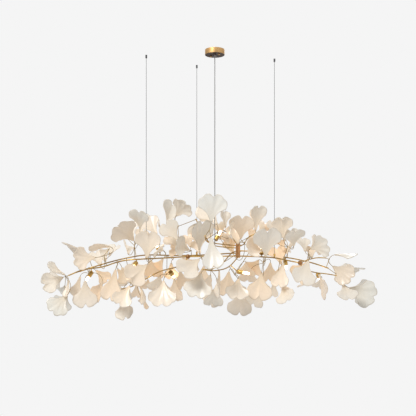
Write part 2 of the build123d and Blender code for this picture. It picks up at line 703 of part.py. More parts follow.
class Sprig:
    """A stem on a branch, a knot at its end and the leaves that grow from the knot."""

    def __init__(self, branch_name, x, z, depth, *leaves, rear_branch=None):
        self.branch_name = branch_name
        self.rear_branch = rear_branch or REAR_BRANCHES.get(branch_name)
        self.knot = seen_at(x, z, depth)
        self.seen = (x, z, depth)
        self.leaves = leaves

    def rear(self, depth_shift):
        """The sprig's twin on the rear side, with the leaves that are repeated there."""
        x, z, depth = self.seen
        leaves = [leaf.rear(depth_shift) for leaf in self.leaves if leaf.twin]
        return Sprig(self.rear_branch, x, z, depth_shift - depth, *leaves)


def front_sprigs():
    """The sprigs of the room side, from left to right."""
    return [
        Sprig("left_upper_branch", -712, -92, -24,
              Leaf("fan", "middle", (-726, -97), (-815, -130), -40, 1, 0, True),
              Leaf("wing", "middle", (-716, -84), (-778, -54), -14, 1, 80),
              Leaf("fan", "small", (-716, -140), (-740, -195), -4, -1, 30),
              Leaf("spoon", "small", (-698, -112), (-686, -186), -64, 1, 40),
              Leaf("ruffle", "middle", (-705, -188), (-762, -260), -70, 1, 0, True)),
        Sprig("left_upper_branch", -592, -82, -52,
              Leaf("fan", "large", (-615, -115), (-610, -250), -74, 1, 0, True),
              Leaf("bowl", "middle", (-528, -112), (-541, -205), -50, -1, 50),
              Leaf("spoon", "middle", (-640, -96), (-668, -196), -20, -1, 20),
              Leaf("fan", "small", (-560, -62), (-500, -120), 20, -1, 0)),
        Sprig("left_upper_branch", -520, 12, -48,
              Leaf("ruffle", "middle", (-565, 2), (-660, 0), -80, 1, 10, True),
              Leaf("bowl", "middle", (-536, -40), (-605, 30), 56, -1, 40),
              Leaf("bowl", "middle", (-490, 56), (-585, 96), -56, 1, -50, True),
              Leaf("fan", "small", (-496, 44), (-540, 0), 10, -1, 20),
              Leaf("fan", "small", (-494, 10), (-462, 72), 10, -1, 0)),
        Sprig("rear_left_branch", -600, 16, 16,
              Leaf("fan", "middle", (-640, 42), (-720, 72), 10, -1, -65)),
        Sprig("left_upper_branch", -452, -34, -70,
              Leaf("fan", "small", (-452, -56), (-414, -112), -70, -1, 0),
              Leaf("spoon", "long", (-462, -58), (-490, -208), -84, 1, 0, True),
              Leaf("fan", "middle", (-430, -48), (-404, -138), 20, -1, 0)),
        Sprig("left_upper_branch", -368, 62, -96,
              Leaf("ruffle", "large", (-372, 88), (-442, 172), -110, 1, 0, True),
              Leaf("fan", "middle", (-340, 150), (-335, 240), -120, 1, 0, True),
              Leaf("wing", "small", (-402, 96), (-458, 146), -62, -1, 80),
              Leaf("wing", "small", (-398, 20), (-442, 78), -50, -1, 80),
              Leaf("fan", "small", (-350, 70), (-326, 140), 0, -1, 0)),
        Sprig("left_upper_branch", -296, -22, -122,
              Leaf("fan", "large", (-306, 0), (-296, 130), -142, 1, 0, True),
              Leaf("fan", "large", (-306, -34), (-388, -104), -130, 1, 0, True),
              Leaf("fan", "middle", (-256, 118), (-316, 196), -40, -1, 20),
              Leaf("fan", "middle", (-286, -10), (-290, -100), 0, -1, 0)),
        Sprig("left_lower_branch", -386, -124, -86,
              Leaf("bowl", "middle", (-392, -140), (-444, -228), -96, 1, 10, True),
              Leaf("fan", "middle", (-424, -196), (-400, -300), -50, 1, 20)),
        Sprig("left_lower_branch", -352, -140, -46,
              Leaf("bowl", "middle", (-340, -144), (-288, -176), -60, 1, 40),
              Leaf("wing", "small", (-338, -186), (-305, -240), -26, -1, 70),
              Leaf("spoon", "small", (-356, -128), (-366, -205), -10, -1, 10),
              Leaf("fan", "small", (-300, -110), (-312, -185), 10, -1, 0)),
        Sprig("left_lower_branch", -206, -82, -82,
              Leaf("ruffle", "large", (-222, -115), (-226, -232), -112, 1, 0, True),
              Leaf("bowl", "middle", (-168, -106), (-152, -206), -64, -1, 30, True),
              Leaf("fan", "middle", (-240, -92), (-288, -180), -30, -1, 10),
              Leaf("fan", "middle", (-140, -66), (-128, -166), -30, -1, 10)),
        Sprig("left_upper_branch", -176, -8, -20,
              Leaf("fan", "small", (-184, -26), (-186, -100), 4, -1, 30),
              Leaf("fan", "middle", (-226, -6), (-268, -88), 20, -1, 20)),
        Sprig("left_top_branch", -150, 158, -24,
              Leaf("bowl", "large", (-205, 170), (-185, 295), -14, -1, 30),
              Leaf("ruffle", "middle", (-158, 214), (-100, 280), -48, 1, 0, True),
              Leaf("fan", "small", (-232, 150), (-282, 150), 8, -1, 160),
              rear_branch="rear_left_branch"),
        Sprig("spine", -84, 36, -46,
              Leaf("bowl", "middle", (-96, 42), (-170, 72), -72, 1, 20, True),
              Leaf("fan", "small", (-132, 30), (-192, 42), -10, -1, 0),
              Leaf("fan", "small", (-90, 58), (-104, 104), 6, -1, 0),
              Leaf("fan", "middle", (-150, 90), (-218, 182), -60, 1, 0, True),
              Leaf("fan", "small", (-150, 56), (-206, 104), 10, -1, 10)),
        Sprig("left_upper_branch", -212, 24, -76,
              Leaf("fan", "small", (-226, 38), (-286, 66), -92, 1, 0, True)),
        Sprig("spine", -34, 14, -96,
              Leaf("fan", "long", (-44, 40), (-40, 186), -130, 1, 10, True),
              Leaf("fan", "large", (-44, -6), (-128, -74), -140, 1, 20, True),
              Leaf("fan", "small", (-40, 22), (-62, 84), 10, -1, 0)),
        Sprig("front_top_branch", 6, 138, -216,
              Leaf("ruffle", "large", (16, 180), (28, 318), -228, 1, 0),
              Leaf("spoon", "long", (14, 104), (28, -40), -226, 1, 0)),
        Sprig("left_top_branch", 46, 128, -64,
              Leaf("fan", "large", (44, 168), (-24, 268), -60, -1, 0, True),
              Leaf("fan", "small", (88, 156), (74, 234), -40, -1, 30),
              Leaf("wing", "middle", (104, 104), (92, 190), -100, 1, 80),
              Leaf("fan", "middle", (104, 66), (84, 156), 20, -1, 0),
              Leaf("fan", "small", (62, 112), (54, 186), 10, -1, 0)),
        Sprig("right_top_branch", 182, 78, -60,
              Leaf("fan", "large", (164, 98), (168, 214), -76, 1, 10, True),
              Leaf("fan", "small", (206, 92), (226, 140), 0, -1, 20),
              Leaf("fan", "middle", (150, 70), (140, 165), 30, -1, 0),
              Leaf("fan", "small", (126, 22), (102, 84), 24, -1, 0)),
        Sprig("right_top_branch", 240, 124, -36,
              Leaf("spoon", "large", (238, 138), (246, 264), -44, 1, 20, True),
              Leaf("fan", "small", (258, 132), (300, 184), -8, -1, 180)),
        Sprig("front_low_branch", 14, -62, -128,
              Leaf("ruffle", "large", (-34, -76), (-60, -184), -132, 1, 0, True),
              Leaf("spoon", "middle", (12, -86), (-6, -172), -100, -1, 20),
              Leaf("wing", "large", (56, -66), (70, -174), -140, 1, 80),
              Leaf("bowl", "middle", (44, -142), (18, -224), -84, -1, 20, True),
              Leaf("fan", "middle", (-20, -40), (-34, -140), 30, -1, 0)),
        Sprig("front_low_branch", 134, -84, -96,
              Leaf("ruffle", "middle", (152, -106), (136, -198), -128, 1, 0, True),
              Leaf("fan", "large", (164, -160), (160, -285), -62, -1, 10, True),
              Leaf("fan", "large", (104, -70), (92, -196), -70, -1, 0),
              Leaf("fan", "middle", (190, -24), (198, -118), -30, -1, 10),
              Leaf("fan", "middle", (60, -8), (110, -70), 10, -1, 20)),
        Sprig("right_branch", 276, -26, -60,
              Leaf("fan", "large", (268, -76), (250, -208), -112, 1, 0, True),
              Leaf("fan", "middle", (252, -12), (222, -100), -20, -1, 20),
              Leaf("bowl", "middle", (262, -146), (234, -240), -20, -1, 20),
              Leaf("fan", "middle", (312, -24), (302, -128), -10, -1, 0),
              Leaf("fan", "long", (288, 6), (290, 148), -124, 1, 10, True),
              Leaf("wing", "middle", (268, 34), (186, 50), -96, 1, 70),
              Leaf("fan", "middle", (214, -60), (196, -150), 20, -1, 0)),
        Sprig("right_branch", 384, 4, -56,
              Leaf("spoon", "large", (378, -26), (346, -138), -74, 1, 20, True),
              Leaf("wing", "small", (396, 22), (404, 76), -40, -1, 80),
              Leaf("fan", "middle", (366, -30), (350, 56), 20, -1, 0)),
        Sprig("right_branch", 398, 58, -34,
              Leaf("fan", "middle", (376, 100), (364, 208), -64, 1, 0, True),
              Leaf("fan", "middle", (428, 62), (420, 152), -74, 1, 10, True),
              Leaf("fan", "small", (384, 90), (362, 36), 18, -1, 30),
              Leaf("fan", "small", (332, 108), (320, 186), 20, -1, 0)),
        Sprig("right_branch", 344, -98, -32,
              Leaf("wing", "small", (356, -132), (420, -138), -36, 1, 80),
              Leaf("bowl", "middle", (372, -146), (402, -238), -64, 1, 20),
              Leaf("spoon", "small", (330, -120), (336, -196), -10, -1, 20)),
        Sprig("right_upper_branch", 502, 22, -34,
              Leaf("ruffle", "middle", (514, 46), (590, 76), -54, 1, 0, True),
              Leaf("fan", "large", (502, -14), (452, -122), -96, 1, 0, True),
              Leaf("fan", "small", (486, 34), (480, 106), 10, -1, 10),
              Leaf("fan", "small", (520, 4), (532, 72), 10, -1, 0)),
        Sprig("right_upper_branch", 606, -6, -18,
              Leaf("wing", "middle", (634, 16), (736, 34), -26, 1, 85),
              Leaf("ruffle", "middle", (624, -42), (712, -102), -62, 1, 0, True)),
        Sprig("right_lower_branch", 560, -92, -56,
              Leaf("spoon", "long", (554, -84), (588, -204), -66, 1, 75),
              Leaf("wing", "small", (520, -116), (482, -152), -30, -1, 80),
              Leaf("fan", "small", (568, -104), (566, -176), -10, -1, 10)),
        Sprig("right_lower_branch", 662, -96, -20,
              Leaf("bowl", "middle", (684, -46), (778, -52), 10, -1, 60),
              Leaf("ruffle", "large", (708, -150), (826, -190), -44, 1, 0, True),
              Leaf("fan", "middle", (676, -136), (682, -192), -30, 1, 0)),
    ]


# The branch that carries the rear twin of a sprig, and how far behind the room side the twin stands
REAR_BRANCHES = {
    "left_upper_branch": "rear_left_branch",
    "left_lower_branch": "rear_left_branch",
    "left_top_branch": "rear_top_branch",
    "spine": "rear_left_branch",
    "front_low_branch": "rear_right_branch",
    "right_top_branch": "rear_top_branch",
    "right_branch": "rear_right_branch",
    "right_upper_branch": "rear_right_branch",
    "right_lower_branch": "rear_right_branch",
}
REAR_SHIFT = 40.0


def all_sprigs():
    """The sprigs of the room side and their twins on the rear side."""
    sprigs = front_sprigs()
    for sprig in list(sprigs):
        if any(leaf.twin for leaf in sprig.leaves):
            sprigs.append(sprig.rear(REAR_SHIFT))
    return sprigs


# Keeping the leaves apart

class Clutter:
    """Points that are taken, each with the room that it keeps."""

    def __init__(self):
        self.points = np.empty((0, 3))
        self.rooms = np.empty(0)

    def add(self, points, room):
        """Take these points."""
        self.points = np.vstack([self.points, points])
        self.rooms = np.concatenate([self.rooms, np.full(len(points), room)])

    def leaves_room(self, points, room):
        """Whether every point has this much room."""
        reach = room + self.rooms.max()
        low = points.min(axis=0) - reach
        high = points.max(axis=0) + reach
        near = np.all((self.points > low) & (self.points < high), axis=1)
        if not near.any():
            return True
        gaps = np.linalg.norm(points[:, None] - self.points[near][None], axis=2)
        return bool(np.all(gaps >= room + self.rooms[near][None]))


def in_sway(points, room):
    """Whether any point stands in the way of the swaying wires and cord."""
    lean = math.tan(math.radians(1.5 * SWAY_ANGLE))
    lines = [(wire_in_lamp(name), BARREL_RADIUS) for name in WIRE_PLACES]
    lines.append((vector((-LAMP_PLACE[0], -LAMP_PLACE[1], feed_pivot())), GLAND_RADIUS))
    for pivot, radius in lines:
        height = points[:, 2] - pivot[2]
        beside = np.linalg.norm(points[:, :2] - pivot[:2], axis=1)
        too_near = beside < room + radius + np.maximum(height, 0) * lean
        if np.any(too_near & (height > -3 * BARREL_LENGTH)):
            return True
    return False


def twig_arc(knot, place, heading):
    """Points of the arc from a leaf's stalk back to its knot, or nothing where its bend is out of range."""
    chord = knot - place
    back = -heading
    angle = math.acos(np.clip(unit(chord).dot(back), -1, 1))
    if math.degrees(angle) > STEEPEST_TWIG or math.degrees(angle) < STRAIGHTEST_TWIG:
        return None
    inward = unit(chord - chord.dot(back) * back)
    radius = np.linalg.norm(chord) / (2 * math.sin(angle))
    turns = np.linspace(0, 2 * angle, 16)[:, None]
    return place + radius * (np.sin(turns) * back + (1 - np.cos(turns)) * inward)


DEPTH_STEPS = (0, -14, 14, -28, 28, -42, 42, -56, 56, -72, 72)
ROLL_STEPS = (0, 16, -16, 34, -34)
LEAN_STEPS = (0, 12, 24)


def poses(leaf):
    """The poses to try for a leaf, from the wanted one outwards."""
    for depth_step in DEPTH_STEPS:
        for lean_step in LEAN_STEPS:
            for roll_step in ROLL_STEPS:
                yield leaf.pose(depth_step, lean_step, roll_step)


def settle(leaf, knot, clutter):
    """The pose nearest to the wanted one in which the leaf and its twig are clear of all the rest."""
    samples = leaf_samples(leaf.form, leaf.length)
    twig_room = TWIG_RADIUS + ROD_ROOM
    for place, heading, hollow in poses(leaf):
        twig = twig_arc(knot, place, heading)
        if twig is None:
            continue
        sideways = np.cross(hollow, heading)
        points = place + samples @ np.array([heading, sideways, hollow])
        if not clutter.leaves_room(points, LEAF_ROOM) or in_sway(points, LEAF_ROOM):
            continue
        outer_twig = twig[np.linalg.norm(twig - knot, axis=1) > KNOT_ROOM]
        if len(outer_twig) == 0:
            return place, heading, hollow, points, twig
        if clutter.leaves_room(outer_twig, twig_room) and not in_sway(outer_twig, twig_room):
            return place, heading, hollow, points, twig
    return None


def twig_solid(knot, place, heading):
    """A twig: a straight end that sits in the leaf and an arc from there to the knot."""
    tip = place + TWIG_DEPTH * heading
    arc = Edge.make_tangent_arc(Vector(*place), Vector(*(-heading)), Vector(*knot))
    path = Wire([Edge.make_line(tuple(tip), tuple(place)), arc])
    section = Plane(origin=tuple(tip), z_dir=tuple(-heading)) * Circle(TWIG_RADIUS)
    return sweep(section, path=path).solid()


def knot_ball(knot, rods):
    """The ball of solder at a knot, turned so that its poles and its seam are clear of the rods."""
    turns = np.radians(np.arange(0, 360, 20))
    arc = np.radians(np.arange(0, 181, 15))[:, None]
    nearest = math.inf
    for tilt in np.radians(np.arange(0, 180, 20)):
        for turn in turns:
            pole = vector((math.sin(tilt) * math.cos(turn), math.sin(tilt) * math.sin(turn), math.cos(tilt)))
            side = unit(np.cross(pole, (0.3, 0.5, 0.8)))
            for roll in turns:
                seam = math.cos(roll) * side + math.sin(roll) * np.cross(pole, side)
                closeness = ((np.cos(arc) * pole + np.sin(arc) * seam) @ rods.T).max()
                if closeness < nearest:
                    nearest = closeness
                    clear = (seam, pole)
    return Plane(origin=tuple(knot), x_dir=tuple(clear[0]), z_dir=tuple(clear[1])) * Sphere(KNOT_RADIUS)


def leaf_plane(place, heading, hollow):
    """The leaf's own frame, in the lamp."""
    return Plane(origin=tuple(place), x_dir=tuple(heading), z_dir=tuple(hollow))


# The group that a branch's sprigs and leaves belong to
GROUPS = {
    "left_upper_branch": "left",
    "left_lower_branch": "left",
    "right_branch": "right",
    "right_upper_branch": "right",
    "right_lower_branch": "right",
    "spine": "front",
    "front_low_branch": "front",
    "left_top_branch": "top",
    "right_top_branch": "top",
    "front_top_branch": "top",
    "rear_top_branch": "top",
    "rear_left_branch": "rear_left",
    "rear_right_branch": "rear_right",
}


def grow(branches, holders):
    """Every sprig and leaf, grouped by branch."""
    sprigs = all_sprigs()
    feet = [branches[sprig.branch_name].stand(sprig.knot, STEM_RADIUS) for sprig in sprigs]
    clutter = Clutter()
    for branch in branches.values():
        clutter.add(branch.places, branch.radius + ROD_ROOM)
    for holder in holders:
        clutter.add(holder.clutter(), HOLDER_RADIUS + ROD_ROOM)
        arm = holder.foot + np.linspace(0, 1, 8)[:, None] * (holder.back - holder.foot)
        clutter.add(arm, HOLDER_ARM_RADIUS + ROD_ROOM)
    hub_heights = np.linspace(0, HUB_HEIGHT + HUB_CAP_HEIGHT, 12)[:, None]
    clutter.add(vector(HUB_PLACE) + hub_heights * vector((0, 0, 1)), HUB_RADIUS + ROD_ROOM)
    for centre in (LEFT_KNUCKLE, RIGHT_KNUCKLE):
        clutter.add(vector(centre)[None], KNUCKLE_RADIUS + ROD_ROOM)
    block_heights = np.linspace(-FEED_BLOCK_HEIGHT, GLAND_LENGTH, 8)[:, None]
    clutter.add(feed_block_place() + block_heights * vector((0, 0, 1)), FEED_BLOCK_RADIUS + ROD_ROOM)
    for sprig, foot in zip(sprigs, feet):
        clutter.add(foot + np.linspace(0, 1, 16)[:, None] * (sprig.knot - foot), KNOT_RADIUS + ROD_ROOM)
    forms = {}
    sprig_solids = {}
    leaf_solids = {}
    for number, (sprig, foot) in enumerate(zip(sprigs, feet)):
        group = GROUPS[sprig.branch_name]
        stem = unit(sprig.knot - foot)
        pieces = [along(foot, stem, STEM_RADIUS, np.linalg.norm(sprig.knot - foot))]
        rods = [-stem]
        for count, leaf in enumerate(sprig.leaves):
            pose = settle(leaf, sprig.knot, clutter)
            if pose is None:
                print(f"no room for leaf {count} of sprig {number} on the {sprig.branch_name}")
                continue
            place, heading, hollow, points, twig = pose
            clutter.add(points, LEAF_ROOM)
            clutter.add(twig, TWIG_RADIUS + ROD_ROOM)
            rods.append(unit(twig[-2] - sprig.knot))
            pieces.append(twig_solid(sprig.knot, place, heading))
            key = (leaf.form, leaf.length)
            if key not in forms:
                forms[key] = leaf_solid(*key)
            at = leaf_plane(place, heading, hollow).location
            leaf_solids.setdefault(group, []).append(forms[key].moved(at))
        joined = knot_ball(sprig.knot, np.array(rods))
        for piece in pieces:
            joined += piece
        sprig_solids.setdefault(group, []).append(joined.solid())
    return sprig_solids, leaf_solids


# Putting the nodes together

def ceiling_nodes():
    """What stays on the ceiling."""
    anchors = [Pos(*place, 0) for place in WIRE_PLACES.values()]
    return {
        "ceiling_bracket": ceiling_bracket(),
        "bracket_studs": bracket_studs(),
        "terminal_block": terminal_block(),
        "canopy_cup": canopy_cup(),
        "canopy_cap_nuts": canopy_cap_nuts(),
        "canopy_gland": [Pos(0, 0, -CANOPY_HEIGHT) * gland()],
        "canopy_gland_nut": [Pos(0, 0, CANOPY_WALL - CANOPY_HEIGHT) * gland_nut()],
        "canopy_lead": canopy_lead(),
        "anchor_bases": [at * Pos(0, 0, -BARREL_FLANGE) * barrel_base(ANCHOR_HOLE_RADIUS) for at in anchors],
        "anchor_barrels": [at * Pos(0, 0, -BARREL_FLANGE) * barrel() for at in anchors],
    }


def hanging_nodes():
    """The wires and the cord, with their balls."""
    nodes = {}
    for name in WIRE_PLACES:
        nodes[f"{name}_wire_top_ball"] = wire_top_ball(name)
        nodes[f"{name}_wire"] = suspension_wire(name)
        nodes[f"{name}_wire_end_ball"] = wire_lower_ball(name)
    nodes["cord_top_ball"] = [ball((0, 0, gland_pivot()), CORD_BALL_RADIUS)]
    nodes["power_cord"] = power_cord()
    return nodes


def lamp_nodes():
    """What hangs on the wires, in the lamp's own frame."""
    branches = main_branches()
    plugs = hanger_plugs(branches)
    holders = [Holder(branches, *values) for values in HOLDERS]
    sprigs, leaves = grow(branches, holders)
    in_left_knuckle = [branches["left_upper_branch"], branches["left_lower_branch"]]
    in_right_knuckle = [branches["right_upper_branch"], branches["right_lower_branch"]]
    in_knuckles = in_left_knuckle + in_right_knuckle
    in_hub = [branch for branch in branches.values() if branch not in in_knuckles]
    nodes = {
        "centre_hub": centre_hub(in_hub),
        "hub_cap": hub_cap(),
        "left_knuckle": knuckle(LEFT_KNUCKLE, in_left_knuckle, [branches["spine"]]),
        "right_knuckle": knuckle(RIGHT_KNUCKLE, in_right_knuckle, [branches["right_branch"]]),
        "feed_block": feed_block(branches["feed_arm"]),
        "feed_gland": [Pos(*feed_block_place()) * Rot(180, 0, 0) * gland()],
        "hanger_plugs": plugs,
        "hanger_barrels": hanger_barrels(),
        "lamp_holders": [holder.cup() for holder in holders],
        "lamp_sockets": [holder.socket() for holder in holders],
        "lamp_bases": [holder.lamp_base() for holder in holders],
        "lamp_glasses": [holder.lamp_glass() for holder in holders],
    }
    for name, branch in branches.items():
        nodes[name] = [branch.rod()]
    for group, solids in sprigs.items():
        nodes[f"{group}_sprigs"] = solids
    for group, solids in leaves.items():
        nodes[f"{group}_leaves"] = solids
    at_lamp = Location(LAMP_PLACE)
    return {name: [solid.moved(at_lamp) for solid in solids] for name, solids in nodes.items()}


def main():
    """Build every node and write it."""
    os.makedirs("parts", exist_ok=True)
    nodes = {**ceiling_nodes(), **hanging_nodes(), **lamp_nodes()}
    for name, solids in nodes.items():
        shape = solids[0] if len(solids) == 1 else Compound(solids)
        export_step(shape, f"parts/{name}.step")
    print(len(nodes), "nodes,", sum(len(solids) for solids in nodes.values()), "solids")


main()
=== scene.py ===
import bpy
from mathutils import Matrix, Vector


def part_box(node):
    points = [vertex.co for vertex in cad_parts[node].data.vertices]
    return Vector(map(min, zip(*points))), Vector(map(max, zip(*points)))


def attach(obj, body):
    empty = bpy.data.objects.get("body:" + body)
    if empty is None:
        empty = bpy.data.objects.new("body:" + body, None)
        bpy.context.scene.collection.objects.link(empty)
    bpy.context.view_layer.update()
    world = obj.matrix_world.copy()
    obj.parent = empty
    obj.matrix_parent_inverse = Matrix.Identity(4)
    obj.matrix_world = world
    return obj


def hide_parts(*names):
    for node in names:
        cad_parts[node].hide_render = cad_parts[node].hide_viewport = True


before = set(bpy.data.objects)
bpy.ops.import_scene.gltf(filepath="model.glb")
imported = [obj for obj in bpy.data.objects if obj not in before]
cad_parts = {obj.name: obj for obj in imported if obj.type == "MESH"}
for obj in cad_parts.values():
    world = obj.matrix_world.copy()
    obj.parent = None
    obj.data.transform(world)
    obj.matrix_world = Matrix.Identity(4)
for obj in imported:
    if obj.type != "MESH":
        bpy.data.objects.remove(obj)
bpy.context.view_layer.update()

import math

import bpy
import numpy as np
from bpy.props import FloatProperty, FloatVectorProperty, IntProperty, PointerProperty
from mathutils import Vector

bl_info = {
    "name": "Porcelain leaf chandelier",
    "version": (1, 0, 0),
    "blender": (4, 5, 0),
    "location": "3D View > Sidebar > Chandelier",
    "description": "Dresses a hanging lamp of porcelain ginkgo leaves on brass branches",
    "category": "Object",
}

# The room, in metres from the canopy's middle on the ceiling: the viewer looks level, a little from the left
EYE = (-0.032, -2.405, -0.741)
IMAGE_WIDTH_PIXELS = 416
FOCAL_PIXELS = 513
SENSOR_WIDTH = 36.0
FLOOR_HEIGHT = -2.4
# Millimetres in a metre, decimals of a metre to which two points have to agree to be one, and what is added
# to a length before a division by it
MILLIMETRES = 1000
WELD_DECIMALS = 6
TINY = 1e-9

# Wires and cord: upper and lower end, place and body of each, as in the model
WIRE_TOP = -0.0133
WIRE_END = -0.9697
WIRES = {
    "left": ((-0.331, 0.080), "left_suspension"),
    "back": ((-0.090, 0.257), "back_suspension"),
    "right": ((0.298, 0.143), "right_suspension"),
}
CORD_TOP = -0.0332
CORD_END = -0.994
CORD_DIAMETER = 0.004
LINE_ROUNDNESS = 4
LEAF_GROUPS = ("left", "right", "front", "top", "rear_left", "rear_right")

# Leaf forms, as in the model, in millimetres, degrees and shares of the fan: half angle of the fan, curl of
# the tip, rise of the sides, height and number of the ripples, depth of the middle notch and of the side
# notches
LEAF_FORMS = {
    "fan": (46.0, 10.0, 12.0, 2.5, 3, 0.30, 0.04),
    "bowl": (44.0, 22.0, 24.0, 1.5, 3, 0.24, 0.03),
    "wing": (46.0, 12.0, 34.0, 2.0, 2, 0.26, 0.03),
    "ruffle": (52.0, 6.0, 9.0, 5.0, 4, 0.20, 0.10),
    "spoon": (30.0, 16.0, 10.0, 1.5, 2, 0.20, 0.02),
}
LEAF_LENGTHS = (84.0, 110.0, 130.0, 148.0)
# Length of the stalk, and half the leaf's thickness at the stalk and at the rim
LEAF_STALK = 14.0
LEAF_STALK_HALF = 3.2
LEAF_RIM_HALF = 1.1
# Notches as shares of the fan's half width, and how much shorter the fan is at its sides
NOTCH_WIDTH = 0.16
SIDE_NOTCH_PLACE = 0.52
SIDE_NOTCH_WIDTH = 0.12
SHOULDER_DROP = 0.34
# The glazed leaf is softer than its solid: the sides flare out from the stalk, and less of the notch, of its
# width and of the ripples shows
SIDE_FLARE = 0.5
NOTCH_LEFT = 0.62
NOTCH_WIDTH_LEFT = 0.65
RIPPLE_LEFT = 0.35
# Waves over the glazed leaf: share of the wave's height, and radians from the leaf's middle to its side
LONG_WAVE = (0.8, 4.4)
SHORT_WAVE = (0.2, 9.5)
FINE_WAVE = (0.1, 17)
# Waves and roll grow from stalk to rim by these powers, and the sides roll less by this share
WAVE_GROWTH = 1.5
ROLL_GROWTH = 4
SIDE_ROLL_LOSS = 0.5
# How far a leaf may lean to its side and outward, as shares of the wave's height, and how its rim may roll
LEAN_SIDEWAYS = 0.9
LEAN_OUTWARD = 0.5
ROLL_RANGE = (-0.6, 1.0)
# Lobes of the rim: the share of the leaf's size, and the waves, as above
LARGE_LOBES = (0.008, 7)
SMALL_LOBES = (0.003, 19)
EDGE_ROUNDING = 0.75
# How much of the painted rim shade shows on the points beside the edge
RIM_SHADE_BESIDE_EDGE = 0.5
# The mesh columns crowd a little towards the leaf's two sides
COLUMN_CROWDING = 0.35
# Each group of leaves draws its chances from seeds of its own
SEEDS_PER_GROUP = 1000
# How a leaf's solid is recognised: the grid on which its kind is measured, how much more its spread counts
# than its volume, and the turns that are tried, in degrees
KIND_COLUMNS = 41
KIND_ROWS = 25
SPREAD_WEIGHT = 3
COARSE_TURN = 6
FINE_REACH = 7
FINE_STEPS_PER_DEGREE = 4

# Light of a lamp on a leaf: where the lamp grazes it, what facing the lamp adds, and through the leaf
GLOW_GRAZING = 0.45
GLOW_FACING = 0.55
GLOW_THROUGH = 0.3
# A leaf's tone is partly drawn by chance and partly painted lamplight. High tones are peach, partly painted
# warm light near the lamps, and low tones grey, partly painted shade on leaves far from them.
TONE_BY_CHANCE = 0.7
TONE_BY_PAINTED_LAMPLIGHT = 0.6
PEACH_TONES = (0.55, 0.95)
GREY_TONES = (0.05, 0.45)

# Clouds in every finish, and the noise that breaks up rubbed edges
MOTTLE_DETAIL = 4.0
MOTTLE_ROUGHNESS = 0.55
WEAR_GRAIN = 260.0
WEAR_DETAIL = 3.0
EDGE_POINTINESS = (0.5, 0.6)

# Glaze: fine rays from stalk to rim and clouds, then painted shade at the stalk and along the rim, each with
# the largest share of its colour. A relief is a bump's strength and its height in metres.
RAY_STRETCH = (34.0, 1.2, 1.0)
RAY_DETAIL = 3.0
RAY_RELIEF = (0.2, 0.0006)
RAY_RANGE = (0.42, 0.8)
RAY_SHARE = 0.25
CLOUD_SCALE = 38.0
CLOUD_CONTRAST = 1.6
CLOUD_RANGE = (0.3, 1.0)
CLOUD_SHARE = 0.2
STALK_SHADE_RANGE = (0.15, 0.75)
STALK_SHADE_SHARE = 0.38
RIM_SHADE_SHARE = 0.62
# Painted lamplight on the porcelain: the largest share of its colour, and the strength of its glow
PAINTED_LAMPLIGHT_SHARE = 0.33
PAINTED_LAMPLIGHT_EMISSION = 0.15
GLAZE_ROUGHNESS = (0.20, 0.36)

# Metals: roughness from and to, and scale of the brown clouds of tarnish and painted dark reflection
METAL_FINISHES = {
    "drawn_steel_wire": ((0.3, 0.45), 400.0),
    "brushed_canopy_brass": ((0.42, 0.56), 26.0),
    "domed_nut_brass": ((0.2, 0.34), 90.0),
    "zinc_plate": ((0.35, 0.55), 90.0),
    "branch_brass": ((0.2, 0.38), 34.0),
    "browned_hub_brass": ((0.25, 0.42), 60.0),
    "drawn_twig_brass": ((0.28, 0.45), 70.0),
    "turned_holder_brass": ((0.18, 0.34), 45.0),
}
# All metals: clouds, wear, grain, tarnish and painted dark reflection in the palest and darkest clouds,
# brightness of rubbed edges, how far down a face looks to get the painted underside shade and dark
# reflection, and the stretch that makes brushed lines of the canopy's grain
METAL_MOTTLE = 2.8
METAL_WEAR = 1.2
METAL_GRAIN = 900.0
METAL_RELIEF = (0.12, 0.0003)
TARNISH_AND_REFLECTION_SHARES = (0.05, 0.9)
RUBBED_METAL = 1.5
UNDERSIDE_SHADE_FACING = (-0.9, -0.6)
BRUSHED_ROUND = (1.0, 1.0, 0.04)
# The wires are dulled steel: their colour, their tarnish and the zinc's tarnish as shares of the steel's
WIRE_STEEL = 0.14
WIRE_TARNISH = 0.08
ZINC_TARNISH = 0.75

# Plastics, paint and unglazed ceramic: two tones, roughness from and to, and scale of the clouds
PLAIN_FINISHES = {
    "grey_cord_sheath": ((0.27, 0.265, 0.26), (0.22, 0.215, 0.21), (0.3, 0.45), 300.0),
    "grey_gland_plastic": ((0.40, 0.36, 0.34), (0.34, 0.305, 0.285), (0.4, 0.6), 150.0),
    "white_plastic": ((0.78, 0.77, 0.74), (0.72, 0.71, 0.67), (0.4, 0.55), 120.0),
    "dark_anchor_paint": ((0.055, 0.055, 0.058), (0.04, 0.04, 0.042), (0.35, 0.5), 200.0),
    "unglazed_socket": ((0.76, 0.73, 0.67), (0.70, 0.66, 0.59), (0.6, 0.8), 180.0),
}
PLAIN_MOTTLE = 1.8
PLAIN_WEAR = 0.5
PLAIN_GRAIN = 1400.0
PLAIN_RELIEF = (0.1, 0.0002)
RUBBED_PLAIN = 1.25

# Lamp glass: its clouds are up to this share of a paler tone, which is this far from the light's to white
LAMP_CLOUD_SCALE = 120.0
LAMP_CLOUD_SHARE = 0.6
LAMP_PALING = 0.5
LAMP_GLASS_ROUGHNESS = (0.35, 0.55)

# Studio lamps: place, share of the key lamp's power, and size
STUDIO_LAMPS = {
    "key": ((-1.7, -2.2, 1.7), 1.0, 1.4),
    "fill": ((2.4, -2.0, -0.6), 0.16, 2.0),
    "rim": ((0.8, 2.6, 0.8), 0.3, 1.8),
}
LAMP_AIM = (0.0, 0.15, -0.95)
SKY_COLOUR = (1.0, 0.985, 0.96)
FLOOR_HALF = 12.0
FLOOR_TONES = ((0.86, 0.86, 0.86), (0.89, 0.89, 0.89))
FLOOR_CLOUD_SCALE = 3.0
FLOOR_CONTRAST = 0.3
FLOOR_ROUGHNESS = 0.9
# The floor fades into the background from its middle outward: between which distances, and the background's
# share at them
FLOOR_FADE = (0.5, 1.6)
FLOOR_PAPER = (0.7, 1.0)


